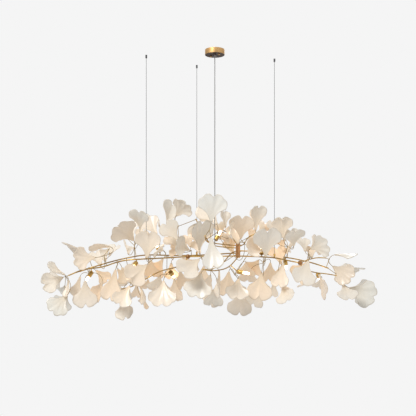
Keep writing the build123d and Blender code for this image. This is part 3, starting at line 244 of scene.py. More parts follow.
class LeafLook(bpy.types.PropertyGroup):
    """Shape and glaze of the leaves."""

    columns: IntProperty(name="Columns", description="Mesh columns across a leaf", default=45, min=9)
    rows: IntProperty(name="Rows", description="Mesh rows from stalk to rim", default=18, min=5)
    edge_wave: FloatProperty(name="Edge wave", description="Height of the waves along the rim", default=0.003,
                             subtype="DISTANCE", unit="LENGTH")
    rim_roll: FloatProperty(name="Rim roll", description="How far the rim rolls up or down", default=0.012,
                            subtype="DISTANCE", unit="LENGTH")
    glaze: FloatVectorProperty(name="Glaze", description="Colour of the ivory leaves",
                               subtype="COLOR", size=3, default=(0.905, 0.895, 0.845))
    # Peach and cool are partly the leaves' own tints, and partly painted lamplight and painted shade
    peach: FloatVectorProperty(name="Peach", description="Colour of the warmest leaves",
                               subtype="COLOR", size=3, default=(0.90, 0.785, 0.66))
    cool: FloatVectorProperty(name="Cool", description="Colour of the greyest leaves",
                              subtype="COLOR", size=3, default=(0.815, 0.815, 0.755))
    # Shade is the darker glaze tone of the rays and clouds, and also the painted shade towards the stalk
    shade: FloatVectorProperty(name="Shade", description="Colour where the glaze pools",
                               subtype="COLOR", size=3, default=(0.70, 0.60, 0.44))
    # Rim: painted shade along the rounded rim of each leaf
    rim: FloatVectorProperty(name="Rim", description="Bare clay along the rim", subtype="COLOR", size=3,
                             default=(0.44, 0.35, 0.22))
    # Glow: painted lamplight, the colour and glow of the porcelain near a lamp
    glow: FloatVectorProperty(name="Glow", description="Colour of the porcelain near a lamp",
                              subtype="COLOR", size=3, default=(1.0, 0.72, 0.44))
    glow_reach: FloatProperty(name="Glow reach", description="How far a lamp tints the porcelain",
                              default=0.21, subtype="DISTANCE", unit="LENGTH")


class MetalLook(bpy.types.PropertyGroup):
    """Colours of the metals."""

    brass: FloatVectorProperty(name="Brass", description="Branches and holders", subtype="COLOR", size=3,
                               default=(0.52, 0.335, 0.10))
    canopy: FloatVectorProperty(name="Canopy", description="Canopy and its nuts", subtype="COLOR", size=3,
                                default=(0.47, 0.29, 0.125))
    # Underside: painted shade and dark reflection on the canopy's downward faces
    underside: FloatVectorProperty(name="Underside", description="Browned underside of the canopy",
                                   subtype="COLOR", size=3, default=(0.045, 0.018, 0.006))
    copper: FloatVectorProperty(name="Copper", description="Browned hub and knuckles",
                                subtype="COLOR", size=3, default=(0.42, 0.22, 0.10))
    twig: FloatVectorProperty(name="Twig", description="Drawn twig wire", subtype="COLOR", size=3,
                              default=(0.40, 0.295, 0.125))
    # Brown clouds over the metal, placed at random and not in the hollows: partly tarnish, partly painted
    # dark reflection
    tarnish_and_reflection: FloatVectorProperty(name="Tarnish", description="Brown in the hollows", subtype="COLOR", size=3,
                                 default=(0.15, 0.075, 0.02))
    steel: FloatVectorProperty(name="Steel", description="Wires and bracket", subtype="COLOR", size=3,
                               default=(0.40, 0.40, 0.39))


class LampLook(bpy.types.PropertyGroup):
    """The small lamps."""

    light: FloatVectorProperty(name="Light", description="Colour of the light", subtype="COLOR", size=3,
                               default=(1.0, 0.74, 0.45))
    strength: FloatProperty(name="Strength", description="Brightness of the lamp glass", default=6.5, min=0)


class StageLook(bpy.types.PropertyGroup):
    """Background and studio light."""

    paper: FloatProperty(name="Paper", description="Brightness of the background", default=0.913,
                         subtype="FACTOR")
    sky: FloatProperty(name="Sky", description="Brightness of the light from all round", default=0.30, min=0)
    key: FloatProperty(name="Key", description="Power of the main lamp", default=98.0, unit="POWER")


class ChandelierLook(bpy.types.PropertyGroup):
    """All settings of the chandelier."""

    leaf: PointerProperty(type=LeafLook)
    metal: PointerProperty(type=MetalLook)
    lamp: PointerProperty(type=LampLook)
    stage: PointerProperty(type=StageLook)


# Shader helpers

def set_socket(tree, socket, value):
    """Set or link an input socket. A plain colour gets full cover."""
    if isinstance(value, bpy.types.NodeSocket):
        tree.links.new(value, socket)
    elif socket.type == "RGBA":
        socket.default_value = (*value[:3], 1.0)
    else:
        socket.default_value = value


def add_node(tree, kind, **inputs):
    """Add a shader node and set or link its inputs, by name."""
    node = tree.nodes.new(kind)
    for name, value in inputs.items():
        set_socket(tree, node.inputs[name], value)
    return node


def calculate(tree, operation, *values, clamp=False):
    """The result of a sum on values or sockets."""
    node = tree.nodes.new("ShaderNodeMath")
    node.operation = operation
    node.use_clamp = clamp
    for socket, value in zip(node.inputs, values):
        set_socket(tree, socket, value)
    return node.outputs[0]


def mix_colours(tree, share, first, second):
    """A colour between two."""
    node = tree.nodes.new("ShaderNodeMix")
    node.data_type = "RGBA"
    for number, value in ((0, share), (6, first), (7, second)):
        set_socket(tree, node.inputs[number], value)
    return node.outputs[2]


def mix_shaders(tree, share, first, second):
    """A shader between two."""
    node = tree.nodes.new("ShaderNodeMixShader")
    for number, output in enumerate((share, first, second)):
        tree.links.new(output, node.inputs[number])
    return node.outputs[0]


def between(tree, value, low, high, start=0.0, stop=1.0):
    """A value spread from start..stop to low..high, and level beyond that."""
    node = tree.nodes.new("ShaderNodeMapRange")
    tree.links.new(value, node.inputs["Value"])
    node.inputs["From Min"].default_value = start
    node.inputs["From Max"].default_value = stop
    node.inputs["To Min"].default_value = low
    node.inputs["To Max"].default_value = high
    return node.outputs["Result"]


def new_group(name, inputs, outputs):
    """An empty shader node group with value inputs and value outputs."""
    tree = bpy.data.node_groups.new(name, "ShaderNodeTree")
    for label, default in inputs.items():
        socket = tree.interface.new_socket(label, in_out="INPUT", socket_type="NodeSocketFloat")
        socket.default_value = default
    for label in outputs:
        tree.interface.new_socket(label, in_out="OUTPUT", socket_type="NodeSocketFloat")
    return tree, tree.nodes.new("NodeGroupInput"), tree.nodes.new("NodeGroupOutput")


def mottle_group():
    """Soft cloudy variation, as in glaze and tarnish."""
    tree, source, target = new_group("Mottle", {"Scale": 30.0, "Contrast": 1.0}, ("Value",))
    place = tree.nodes.new("ShaderNodeTexCoord")
    noise = add_node(tree, "ShaderNodeTexNoise", Vector=place.outputs["Object"],
                     Scale=source.outputs["Scale"], Detail=MOTTLE_DETAIL, Roughness=MOTTLE_ROUGHNESS)
    centred = calculate(tree, "SUBTRACT", noise.outputs["Fac"], 0.5)
    spread = calculate(tree, "MULTIPLY_ADD", centred, source.outputs["Contrast"], 0.5, clamp=True)
    tree.links.new(spread, target.inputs["Value"])


def wear_group():
    """A mask of rubbed edges, broken up by noise."""
    tree, source, target = new_group("Rubbed edges", {"Amount": 1.0}, ("Mask",))
    geometry = tree.nodes.new("ShaderNodeNewGeometry")
    edge = between(tree, geometry.outputs["Pointiness"], 0.0, 1.0, *EDGE_POINTINESS)
    place = tree.nodes.new("ShaderNodeTexCoord")
    noise = add_node(tree, "ShaderNodeTexNoise", Vector=place.outputs["Object"], Scale=WEAR_GRAIN,
                     Detail=WEAR_DETAIL)
    broken = calculate(tree, "MULTIPLY", edge, noise.outputs["Fac"])
    scaled = calculate(tree, "MULTIPLY", broken, source.outputs["Amount"], clamp=True)
    tree.links.new(scaled, target.inputs["Mask"])


def place_group(tree, group, **inputs):
    """Put a shared group into a material."""
    node = tree.nodes.new("ShaderNodeGroup")
    node.node_tree = bpy.data.node_groups[group]
    for name, value in inputs.items():
        node.inputs[name].default_value = value
    return node


def new_material(name):
    """A new material, its node tree and its shader."""
    material = bpy.data.materials.new(name)
    material.use_nodes = True
    tree = material.node_tree
    shader = tree.nodes["Principled BSDF"]
    return material, tree, shader


def bump(tree, shader, height, strength, distance):
    """Raise the surface by a height value."""
    node = add_node(tree, "ShaderNodeBump", Height=height, Strength=strength, Distance=distance)
    tree.links.new(node.outputs["Normal"], shader.inputs["Normal"])


def surface_value(tree, name):
    """A value stored on the mesh's points."""
    node = tree.nodes.new("ShaderNodeAttribute")
    node.attribute_name = name
    return node.outputs["Fac"]


def porcelain(look):
    """Ivory porcelain with fine rays, painted shade at stalk and rim, and painted lamplight that warms and
    brightens it near the lamps.
    """
    material, tree, shader = new_material("ivory_porcelain")
    layout = tree.nodes.new("ShaderNodeUVMap")
    layout.uv_map = "leaf"
    stretch = add_node(tree, "ShaderNodeMapping", Vector=layout.outputs["UV"], Scale=RAY_STRETCH)
    rays = add_node(tree, "ShaderNodeTexNoise", Vector=stretch.outputs["Vector"], Scale=1.0,
                    Detail=RAY_DETAIL)
    cloud = place_group(tree, "Mottle", Scale=CLOUD_SCALE, Contrast=CLOUD_CONTRAST)
    outward = add_node(tree, "ShaderNodeSeparateXYZ", Vector=layout.outputs["UV"])
    tone = surface_value(tree, "tone")
    rim = surface_value(tree, "rim")
    glow = surface_value(tree, "glow")

    # Tone: partly random, partly painted lamplight towards peach and painted shade towards grey
    peach_share = between(tree, tone, 0.0, 1.0, *PEACH_TONES)
    grey_share = between(tree, tone, 1.0, 0.0, *GREY_TONES)
    ray_share = between(tree, rays.outputs["Fac"], 0.0, RAY_SHARE, *RAY_RANGE)
    cloud_share = between(tree, cloud.outputs["Value"], 0.0, CLOUD_SHARE, *CLOUD_RANGE)
    # Painted shade: the leaf darkens towards its stalk
    stalk_shade_share = between(tree, outward.outputs["Y"], STALK_SHADE_SHARE, 0.0, *STALK_SHADE_RANGE)
    colour = mix_colours(tree, peach_share, look.glaze, look.peach)
    colour = mix_colours(tree, grey_share, colour, look.cool)
    colour = mix_colours(tree, ray_share, colour, look.shade)
    colour = mix_colours(tree, cloud_share, colour, look.shade)
    colour = mix_colours(tree, stalk_shade_share, colour, look.shade)
    # Painted shade along the rim
    colour = mix_colours(tree, between(tree, rim, 0.0, RIM_SHADE_SHARE), colour, look.rim)
    # Painted lamplight: warmer colour and a glow near the lamps, though the porcelain is no lamp
    colour = mix_colours(tree, between(tree, glow, 0.0, PAINTED_LAMPLIGHT_SHARE), colour, look.glow)
    tree.links.new(colour, shader.inputs["Base Color"])

    lit = mix_colours(tree, glow, (0.0, 0.0, 0.0), look.glow)
    tree.links.new(lit, shader.inputs["Emission Color"])
    shader.inputs["Emission Strength"].default_value = PAINTED_LAMPLIGHT_EMISSION
    tree.links.new(between(tree, cloud.outputs["Value"], *GLAZE_ROUGHNESS), shader.inputs["Roughness"])
    bump(tree, shader, rays.outputs["Fac"], *RAY_RELIEF)
    return material


def scaled_colour(colour, times):
    """A colour made darker or brighter, up to full."""
    return tuple(min(1.0, times * part) for part in colour)


def metal(name, colour, tarnish_and_reflection, stretch=(1.0, 1.0, 1.0), underside=None):
    """A metal with brown clouds that are partly tarnished metal and partly painted dark reflection, rubbed
    edges, fine drawn lines and perhaps painted shade and dark reflection on the faces that look down.
    """
    rough, cloud_scale = METAL_FINISHES[name]
    material, tree, shader = new_material(name)
    shader.inputs["Metallic"].default_value = 1.0
    cloud = place_group(tree, "Mottle", Scale=cloud_scale, Contrast=METAL_MOTTLE)
    rubbed = place_group(tree, "Rubbed edges", Amount=METAL_WEAR)
    # Brown clouds: partly tarnish, partly painted dark reflection
    aged = mix_colours(tree, between(tree, cloud.outputs["Value"], *TARNISH_AND_REFLECTION_SHARES), colour, tarnish_and_reflection)
    bright = mix_colours(tree, rubbed.outputs["Mask"], aged, scaled_colour(colour, RUBBED_METAL))
    place = tree.nodes.new("ShaderNodeTexCoord")
    # Painted shade and dark reflection on the faces that look down
    if underside:
        facing = add_node(tree, "ShaderNodeSeparateXYZ", Vector=place.outputs["Normal"])
        share = between(tree, facing.outputs["Z"], 1.0, 0.0, *UNDERSIDE_SHADE_FACING)
        bright = mix_colours(tree, share, bright, underside)
    tree.links.new(bright, shader.inputs["Base Color"])
    tree.links.new(between(tree, cloud.outputs["Value"], *rough), shader.inputs["Roughness"])
    lines = add_node(tree, "ShaderNodeMapping", Vector=place.outputs["Object"], Scale=stretch)
    grain = add_node(tree, "ShaderNodeTexNoise", Vector=lines.outputs["Vector"], Scale=METAL_GRAIN)
    bump(tree, shader, grain.outputs["Fac"], *METAL_RELIEF)
    return material


def plain_finish(name):
    """Plastic, paint or unglazed ceramic with a soft grain."""
    colour, second, rough, cloud_scale = PLAIN_FINISHES[name]
    material, tree, shader = new_material(name)
    cloud = place_group(tree, "Mottle", Scale=cloud_scale, Contrast=PLAIN_MOTTLE)
    rubbed = place_group(tree, "Rubbed edges", Amount=PLAIN_WEAR)
    tone = mix_colours(tree, cloud.outputs["Value"], colour, second)
    pale = mix_colours(tree, rubbed.outputs["Mask"], tone, scaled_colour(colour, RUBBED_PLAIN))
    tree.links.new(pale, shader.inputs["Base Color"])
    tree.links.new(between(tree, cloud.outputs["Value"], *rough), shader.inputs["Roughness"])
    place = tree.nodes.new("ShaderNodeTexCoord")
    grain = add_node(tree, "ShaderNodeTexNoise", Vector=place.outputs["Object"], Scale=PLAIN_GRAIN)
    bump(tree, shader, grain.outputs["Fac"], *PLAIN_RELIEF)
    return material


def lamp_glass(look):
    """Frosted glass that glows, in slightly cloudy tones."""
    material, tree, shader = new_material("frosted_lamp_glass")
    cloud = place_group(tree, "Mottle", Scale=LAMP_CLOUD_SCALE, Contrast=1.0)
    pale = tuple(LAMP_PALING + (1 - LAMP_PALING) * part for part in look.light)
    share = between(tree, cloud.outputs["Value"], 0.0, LAMP_CLOUD_SHARE)
    tone = mix_colours(tree, share, look.light, pale)
    tree.links.new(tone, shader.inputs["Emission Color"])
    tree.links.new(tone, shader.inputs["Base Color"])
    shader.inputs["Emission Strength"].default_value = look.strength
    rough = between(tree, cloud.outputs["Value"], *LAMP_GLASS_ROUGHNESS)
    tree.links.new(rough, shader.inputs["Roughness"])
    return material


def dress(material, *node_names):
    """Give CAD nodes a material."""
    for name in node_names:
        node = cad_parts[name]
        for slot in node.material_slots:
            slot.material = material
        if not node.material_slots:
            node.data.materials.append(material)


# Meshes

def welded_islands(node):
    """The separate solids of a node: the points of each, in metres, and its triangles."""
    mesh = node.data
    places = np.empty(len(mesh.vertices) * 3)
    mesh.vertices.foreach_get("co", places)
    places = places.reshape(-1, 3)
    mesh.calc_loop_triangles()
    triangles = np.empty(len(mesh.loop_triangles) * 3, dtype=int)
    mesh.loop_triangles.foreach_get("vertices", triangles)
    _, first, weld = np.unique(np.round(places, WELD_DECIMALS), axis=0, return_index=True,
                                return_inverse=True)
    triangles = weld.ravel()[triangles].reshape(-1, 3)
    label = np.arange(len(first))
    while True:
        lowered = label.copy()
        low = label[triangles].min(axis=1)
        for corner in range(3):
            np.minimum.at(lowered, triangles[:, corner], low)
        lowered = lowered[lowered]
        if np.array_equal(lowered, label):
            break
        label = lowered
    places = places[first]
    islands = []
    for value in np.unique(label):
        own = np.flatnonzero(label == value)
        number = np.zeros(len(label), dtype=int)
        number[own] = np.arange(len(own))
        islands.append((places[own], number[triangles[label[triangles[:, 0]] == value]]))
    return islands


def leaf_points(form, length, across, out, side, glazed=False):
    """Points of one side of a leaf that grows along +X with its hollow side up, in millimetres.

    They follow the model's form, or the softer glazed one."""
    angle, curl, cup, ripple, ripples, notch, side_notch = LEAF_FORMS[form]
    fan = length - LEAF_STALK
    notch_width = NOTCH_WIDTH
    if glazed:
        angle = angle * (1 - SIDE_FLARE * (1 - out))
        ripple *= RIPPLE_LEFT
        notch *= NOTCH_LEFT
        side_notch *= NOTCH_LEFT
        notch_width *= NOTCH_WIDTH_LEFT
    middle_cut = notch * np.exp(-((across / notch_width) ** 2))
    side_cut = side_notch * np.exp(-(((np.abs(across) - SIDE_NOTCH_PLACE) / SIDE_NOTCH_WIDTH) ** 2))
    radius = fan * out * (1 - middle_cut - side_cut - SHOULDER_DROP * across ** 4)
    turn = np.radians(angle) * across
    share = radius / fan
    x = LEAF_STALK * (1 - (1 - out) ** 2) + radius * np.cos(turn)
    y = LEAF_STALK_HALF * across * (1 - out) + radius * np.sin(turn)
    z = curl * share ** 2 + cup * share * across ** 2 + ripple * share ** 2 * np.cos(ripples * np.pi * across)
    half = LEAF_RIM_HALF + (LEAF_STALK_HALF - LEAF_RIM_HALF) * (1 - out) ** 3
    return np.stack([x, y, z + side * half], axis=-1)


def moments(points, triangles):
    """A closed mesh's volume, middle, spread along its main axes, those axes as rows, and third moments."""
    corners = points[triangles]
    volumes = np.einsum("ij,ij->i", corners[:, 0], np.cross(corners[:, 1], corners[:, 2])) / 6
    volume = volumes.sum()
    middle = volumes @ corners.sum(axis=1) / (4 * volume)
    corners = corners - middle
    volumes = np.einsum("ij,ij->i", corners[:, 0], np.cross(corners[:, 1], corners[:, 2])) / 6
    total = corners.sum(axis=1)
    second = np.einsum("i,ij,ik->jk", volumes, total, total)
    for corner in range(3):
        second += np.einsum("i,ij,ik->jk", volumes, corners[:, corner], corners[:, corner])
    spread, axes = np.linalg.eigh(second / (20 * volume))
    area = np.linalg.norm(np.cross(corners[:, 1] - corners[:, 0], corners[:, 2] - corners[:, 0]), axis=1)
    third = np.einsum("i,ij,ik,il->jkl", area / area.sum(), total / 3, total / 3, total / 3)
    return volume, middle, np.sqrt(spread), axes.T, third


def seen_along(third, rows):
    """Third moments along other directions, given as rows."""
    return np.einsum("jkl,aj,bk,cl->abc", third, rows, rows, rows)


def leaf_kinds():
    """Volume, middle, spread, directions and third moments of every leaf form at every length.

    The leaf grows from the origin along +X with its hollow side up. The directions are outward, sideways and
    through its thinnest side."""
    across, out = np.meshgrid(np.linspace(-1, 1, KIND_COLUMNS), np.linspace(0, 1, KIND_ROWS))
    faces, border = leaf_mesh_layout(KIND_COLUMNS, KIND_ROWS)
    triangles = np.concatenate([faces[:, [0, 1, 2]], faces[:, [0, 2, 3]]])
    kinds = {}
    for form in LEAF_FORMS:
        for length in LEAF_LENGTHS:
            upper = leaf_points(form, length, across, out, 1).reshape(-1, 3)
            lower = leaf_points(form, length, across, out, -1).reshape(-1, 3)
            points = np.concatenate([upper, lower, (upper[border] + lower[border]) / 2])
            volume, middle, spread, axes, third = moments(points, triangles)
            thin = axes[0] * np.sign(axes[0][2])
            directions = np.stack([np.cross((0, 1, 0), thin), (0, 1, 0), thin])
            kinds[form, length] = (volume, middle, spread, directions, seen_along(third, directions))
    return kinds


def find_leaf(points, triangles, kinds):
    """The form and length of a leaf's solid, the place of its stalk end and its own axes as rows.

    Its volume and the spread along its main axes tell the kind. Its third moments tell which way it faces."""
    volume, middle, spread, axes, third = moments(points, triangles)

    def unlike(kind):
        own_volume, _, own_spread, _, _ = kinds[kind]
        return abs(np.log(volume / own_volume)) + SPREAD_WEIGHT * np.abs(np.log(spread / own_spread)).sum()

    form, length = min(kinds, key=unlike)
    _, own_middle, _, own_directions, own_third = kinds[form, length]

    def turned(side, angle):
        sideways = math.cos(angle) * axes[1] + math.sin(angle) * axes[2]
        return np.stack([np.cross(sideways, side * axes[0]), sideways, side * axes[0]])

    def misfit(trial):
        return np.abs(seen_along(third, turned(*trial)) - own_third).sum()

    coarse = [(side, math.radians(angle)) for side in (1, -1) for angle in range(0, 360, COARSE_TURN)]
    side, angle = min(coarse, key=misfit)
    last = FINE_REACH * FINE_STEPS_PER_DEGREE
    steps = range(-last, last + 1)
    fine = [(side, angle + math.radians(step / FINE_STEPS_PER_DEGREE)) for step in steps]
    turn = own_directions.T @ turned(*min(fine, key=misfit))
    return form, length, middle - own_middle @ turn, turn


def leaf_mesh_layout(columns, rows):
    """Faces of a leaf's mesh: an upper and a lower sheet, and the rounded edge between them.

    Points are numbered upper sheet, lower sheet, then the edge's middle line round the sheet."""
    faces = []
    lower = columns * rows
    for row in range(rows - 1):
        for column in range(columns - 1):
            a = row * columns + column
            faces.append((a, a + columns, a + columns + 1, a + 1))
            faces.append((lower + a, lower + a + 1, lower + a + columns + 1, lower + a + columns))
    border = [row * columns for row in range(rows)]
    border += [(rows - 1) * columns + column for column in range(1, columns)]
    border += [row * columns + columns - 1 for row in range(rows - 2, -1, -1)]
    border += list(range(columns - 2, 0, -1))
    edge = 2 * lower
    for place, point in enumerate(border):
        after = (place + 1) % len(border)
        faces.append((point, edge + place, edge + after, border[after]))
        faces.append((edge + place, lower + point, lower + border[after], edge + after))
    return np.array(faces), np.array(border)


def waves(kind, across, phase):
    """Waves across a leaf, of their own height."""
    height, count = kind
    return height * np.sin(count * across + phase)


def leaf_shape(form, length, across, out, border, wave, roll, seed):
    """One leaf's points in its own frame, in millimetres, with its own waves, lobes and lean."""
    chance = np.random.default_rng(seed)
    phases = chance.uniform(0, 2 * np.pi, 5)
    share = out ** WAVE_GROWTH
    bend = chance.uniform(-1, 1, 2)
    rolled = roll * chance.uniform(*ROLL_RANGE)
    upper = leaf_points(form, length, across, out, 1, glazed=True)
    lower = leaf_points(form, length, across, out, -1, glazed=True)
    lift = wave * share * (waves(LONG_WAVE, across, phases[0]) + waves(SHORT_WAVE, across, phases[1]))
    lift += wave * share * (LEAN_SIDEWAYS * bend[0] * across + LEAN_OUTWARD * bend[1])
    lift += wave * share ** 2 * waves(FINE_WAVE, across, phases[2])
    lift += rolled * out ** ROLL_GROWTH * (1 - SIDE_ROLL_LOSS * across ** 2)
    lobes = 1 + share * (waves(LARGE_LOBES, across, phases[3]) + waves(SMALL_LOBES, across, phases[4]))
    for sheet in (upper, lower):
        sheet[..., 2] += lift
        sheet[..., :2] *= lobes[..., None]
    upper = upper.reshape(-1, 3)
    lower = lower.reshape(-1, 3)
    middle = (upper + lower) / 2
    along = np.roll(middle[border], -1, axis=0) - np.roll(middle[border], 1, axis=0)
    thick = upper[border] - lower[border]
    outward = np.cross(along, thick)
    outward /= np.linalg.norm(outward, axis=1)[:, None] + TINY
    half = np.linalg.norm(thick, axis=1)[:, None] / 2
    past_stalk_end = (out.ravel()[border] > 0)[:, None]
    edge = middle[border] + outward * half * EDGE_ROUNDING * past_stalk_end
    return np.concatenate([upper, lower, edge])


def lamp_middles():
    """The middle of every lamp's glass."""
    return np.array([points.mean(axis=0) for points, _ in welded_islands(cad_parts["lamp_glasses"])])


def glow_at(points, normals, lamps, reach):
    """How much painted lamplight each point gets: more on the side that faces the lamps."""
    glow = np.zeros(len(points))
    for lamp in lamps:
        away = lamp - points
        distance = np.linalg.norm(away, axis=1)
        facing = np.einsum("ij,ij->i", normals, away) / (distance + TINY)
        turned_to = np.where(facing > 0, GLOW_GRAZING + GLOW_FACING * facing, GLOW_THROUGH)
        glow += np.exp(-((distance / reach) ** 2)) * turned_to
    return np.clip(glow, 0, 1)


def store(mesh, name, values):
    """Keep a value for each of a mesh's points."""
    layer = mesh.attributes.new(name, "FLOAT", "POINT")
    layer.data.foreach_set("value", values.astype(np.float32))


def leaf_rim_shade(border, sheet_count, count):
    """Painted shade along a leaf's rim: one along the rounded edge, less beside it and nothing elsewhere."""
    rim = np.zeros(count)
    rim[border] = RIM_SHADE_BESIDE_EDGE
    rim[border + sheet_count] = RIM_SHADE_BESIDE_EDGE
    rim[2 * sheet_count:] = 1.0
    return rim


def leaf_shapes(group, look, kinds, across, out, border):
    """The points of each leaf of a group, in metres, in its solid's place."""
    wave = MILLIMETRES * look.edge_wave
    roll = MILLIMETRES * look.rim_roll
    shapes = []
    for number, (points, triangles) in enumerate(welded_islands(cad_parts[f"{group}_leaves"])):
        form, length, stalk, turn = find_leaf(points * MILLIMETRES, triangles, kinds)
        seed = SEEDS_PER_GROUP * LEAF_GROUPS.index(group) + number
        local = leaf_shape(form, length, across, out, border, wave, roll, seed)
        shapes.append((stalk + local @ turn) / MILLIMETRES)
    return shapes


def build_leaves(group, look, kinds, lamps, material):
    """One mesh of all leaves of a group, in place of its solids."""
    columns, rows = look.columns, look.rows
    even = np.linspace(-1, 1, columns)
    crowded = np.sin(even * np.pi / 2)
    spread = crowded * COLUMN_CROWDING + even * (1 - COLUMN_CROWDING)
    across, out = np.meshgrid(spread, np.linspace(0, 1, rows))
    faces, border = leaf_mesh_layout(columns, rows)
    shapes = leaf_shapes(group, look, kinds, across, out, border)
    count = len(shapes[0])
    places = np.concatenate(shapes)
    all_faces = np.concatenate([faces + number * count for number in range(len(shapes))])
    mesh = bpy.data.meshes.new(f"{group}_porcelain_leaves")
    mesh.from_pydata(places.tolist(), [], all_faces.tolist())
    mesh.polygons.foreach_set("use_smooth", np.ones(len(all_faces), dtype=bool))
    mesh.update()
    layout = np.stack([across.ravel() * 0.5 + 0.5, out.ravel()], axis=1)
    layout = np.concatenate([layout, layout, layout[border]])
    corners = all_faces.ravel() % count
    mesh.uv_layers.new(name="leaf").data.foreach_set("uv", layout[corners].astype(np.float32).ravel())
    normals = np.empty(len(mesh.vertices) * 3)
    mesh.vertices.foreach_get("normal", normals)
    # Painted lamplight on each point
    glow = glow_at(places, normals.reshape(-1, 3), lamps, look.glow_reach)
    # Tone: chance, plus the painted lamplight of the leaf's lamps
    chance = np.random.default_rng(LEAF_GROUPS.index(group)).uniform(0, 1, len(shapes))
    tones = TONE_BY_CHANCE * chance + TONE_BY_PAINTED_LAMPLIGHT * glow.reshape(-1, count).mean(axis=1)
    store(mesh, "glow", glow)
    store(mesh, "tone", np.repeat(np.clip(tones, 0, 1), count))
    # Painted shade along each leaf's rim
    store(mesh, "rim", np.tile(leaf_rim_shade(border, columns * rows, count), len(shapes)))
    mesh.materials.append(material)
    leaves = bpy.data.objects.new(f"{group}_porcelain_leaves", mesh)
    bpy.context.scene.collection.objects.link(leaves)
    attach(leaves, "lamp")
    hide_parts(f"{group}_leaves")


def taut_line(name, points, diameter, material):
    """A round line through its points."""
    curve = bpy.data.curves.new(name, "CURVE")
    curve.dimensions = "3D"
    curve.bevel_depth = diameter / 2
    curve.bevel_resolution = LINE_ROUNDNESS
    curve.use_fill_caps = True
    spline = curve.splines.new("NURBS")
    spline.points.add(len(points) - 1)
    for point, place in zip(spline.points, points):
        point.co = (*place, 1.0)
    spline.order_u = 3
    spline.use_endpoint_u = True
    curve.materials.append(material)
    line = bpy.data.objects.new(name, curve)
    bpy.context.scene.collection.objects.link(line)
    return line


# Operators

class CHANDELIER_OT_camera(bpy.types.Operator):
    """Stand the viewer in front of the lamp."""

    bl_idname = "chandelier.camera"
    bl_label = "Camera"

    def execute(self, context):
        data = bpy.data.cameras.new("viewer")
        data.sensor_width = SENSOR_WIDTH
        data.lens = FOCAL_PIXELS * SENSOR_WIDTH / IMAGE_WIDTH_PIXELS
        camera = bpy.data.objects.new("viewer", data)
        camera.location = EYE
        camera.rotation_euler = (math.radians(90), 0, 0)
        context.scene.collection.objects.link(camera)
        context.scene.camera = camera
        return {"FINISHED"}


class CHANDELIER_OT_finishes(bpy.types.Operator):
    """Make the shared shader groups."""

    bl_idname = "chandelier.finishes"
    bl_label = "Shared finishes"

    def execute(self, context):
        mottle_group()
        wear_group()
        return {"FINISHED"}


class CHANDELIER_OT_wires(bpy.types.Operator):
    """Draw the three suspension wires."""

    bl_idname = "chandelier.wires"
    bl_label = "Wires"

    def execute(self, context):
        look = context.scene.chandelier.metal
        steel = metal("drawn_steel_wire", scaled_colour(look.steel, WIRE_STEEL),
                      scaled_colour(look.steel, WIRE_TARNISH))
        for name, ((x, y), body) in WIRES.items():
            points = [(x, y, WIRE_TOP), (x, y, (WIRE_TOP + WIRE_END) / 2), (x, y, WIRE_END)]
            low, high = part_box(f"{name}_wire")
            diameter = round(high[0] - low[0], 4)
            wire = taut_line(f"{name}_suspension_wire", points, diameter, steel)
            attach(wire, body)
            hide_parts(f"{name}_wire")
            dress(steel, f"{name}_wire_top_ball", f"{name}_wire_end_ball")
        return {"FINISHED"}


class CHANDELIER_OT_cord(bpy.types.Operator):
    """Draw the power cord from the canopy to the lamp."""

    bl_idname = "chandelier.cord"
    bl_label = "Power cord"

    def execute(self, context):
        sheath = plain_finish("grey_cord_sheath")
        points = [(0, 0, CORD_TOP), (0, 0, (CORD_TOP + CORD_END) / 2), (0, 0, CORD_END)]
        cord = taut_line("hanging_power_cord", points, CORD_DIAMETER, sheath)
        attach(cord, "cord")
        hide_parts("power_cord")
        dress(sheath, "canopy_lead", "cord_top_ball")
        return {"FINISHED"}


class CHANDELIER_OT_canopy(bpy.types.Operator):
    """Finish the canopy, its fittings and the wire anchors."""

    bl_idname = "chandelier.canopy"
    bl_label = "Canopy and anchors"

    def execute(self, context):
        look = context.scene.chandelier.metal
        cup = metal("brushed_canopy_brass", look.canopy, look.tarnish_and_reflection, BRUSHED_ROUND, look.underside)
        dress(cup, "canopy_cup")
        dress(metal("domed_nut_brass", look.canopy, look.tarnish_and_reflection), "canopy_cap_nuts")
        zinc = metal("zinc_plate", look.steel, scaled_colour(look.steel, ZINC_TARNISH))
        dress(zinc, "ceiling_bracket", "bracket_studs")
        dress(plain_finish("grey_gland_plastic"), "canopy_gland", "canopy_gland_nut", "feed_gland")
        dress(plain_finish("white_plastic"), "terminal_block", "lamp_bases")
        dress(plain_finish("dark_anchor_paint"), "anchor_bases", "anchor_barrels")
        return {"FINISHED"}


class CHANDELIER_OT_branches(bpy.types.Operator):
    """Finish the hub, the branches, the hangers and the twigs."""

    bl_idname = "chandelier.branches"
    bl_label = "Branches and twigs"

    def execute(self, context):
        look = context.scene.chandelier.metal
        brass = metal("branch_brass", look.brass, look.tarnish_and_reflection)
        dress(brass, *(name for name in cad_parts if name.endswith("_branch")))
        dress(brass, "spine", "feed_arm", "feed_block", "hanger_plugs", "hanger_barrels")
        browned = metal("browned_hub_brass", look.copper, look.tarnish_and_reflection)
        dress(browned, "centre_hub", "hub_cap", "left_knuckle", "right_knuckle")
        twig = metal("drawn_twig_brass", look.twig, look.tarnish_and_reflection)
        dress(twig, *(f"{group}_sprigs" for group in LEAF_GROUPS))
        return {"FINISHED"}


class CHANDELIER_OT_lamps(bpy.types.Operator):
    """Finish the lamp holders and light the lamps."""

    bl_idname = "chandelier.lamps"
    bl_label = "Lamps"

    def execute(self, context):
        look = context.scene.chandelier
        cup = metal("turned_holder_brass", look.metal.brass, look.metal.tarnish_and_reflection)
        dress(cup, "lamp_holders")
        dress(plain_finish("unglazed_socket"), "lamp_sockets")
        dress(lamp_glass(look.lamp), "lamp_glasses")
        return {"FINISHED"}


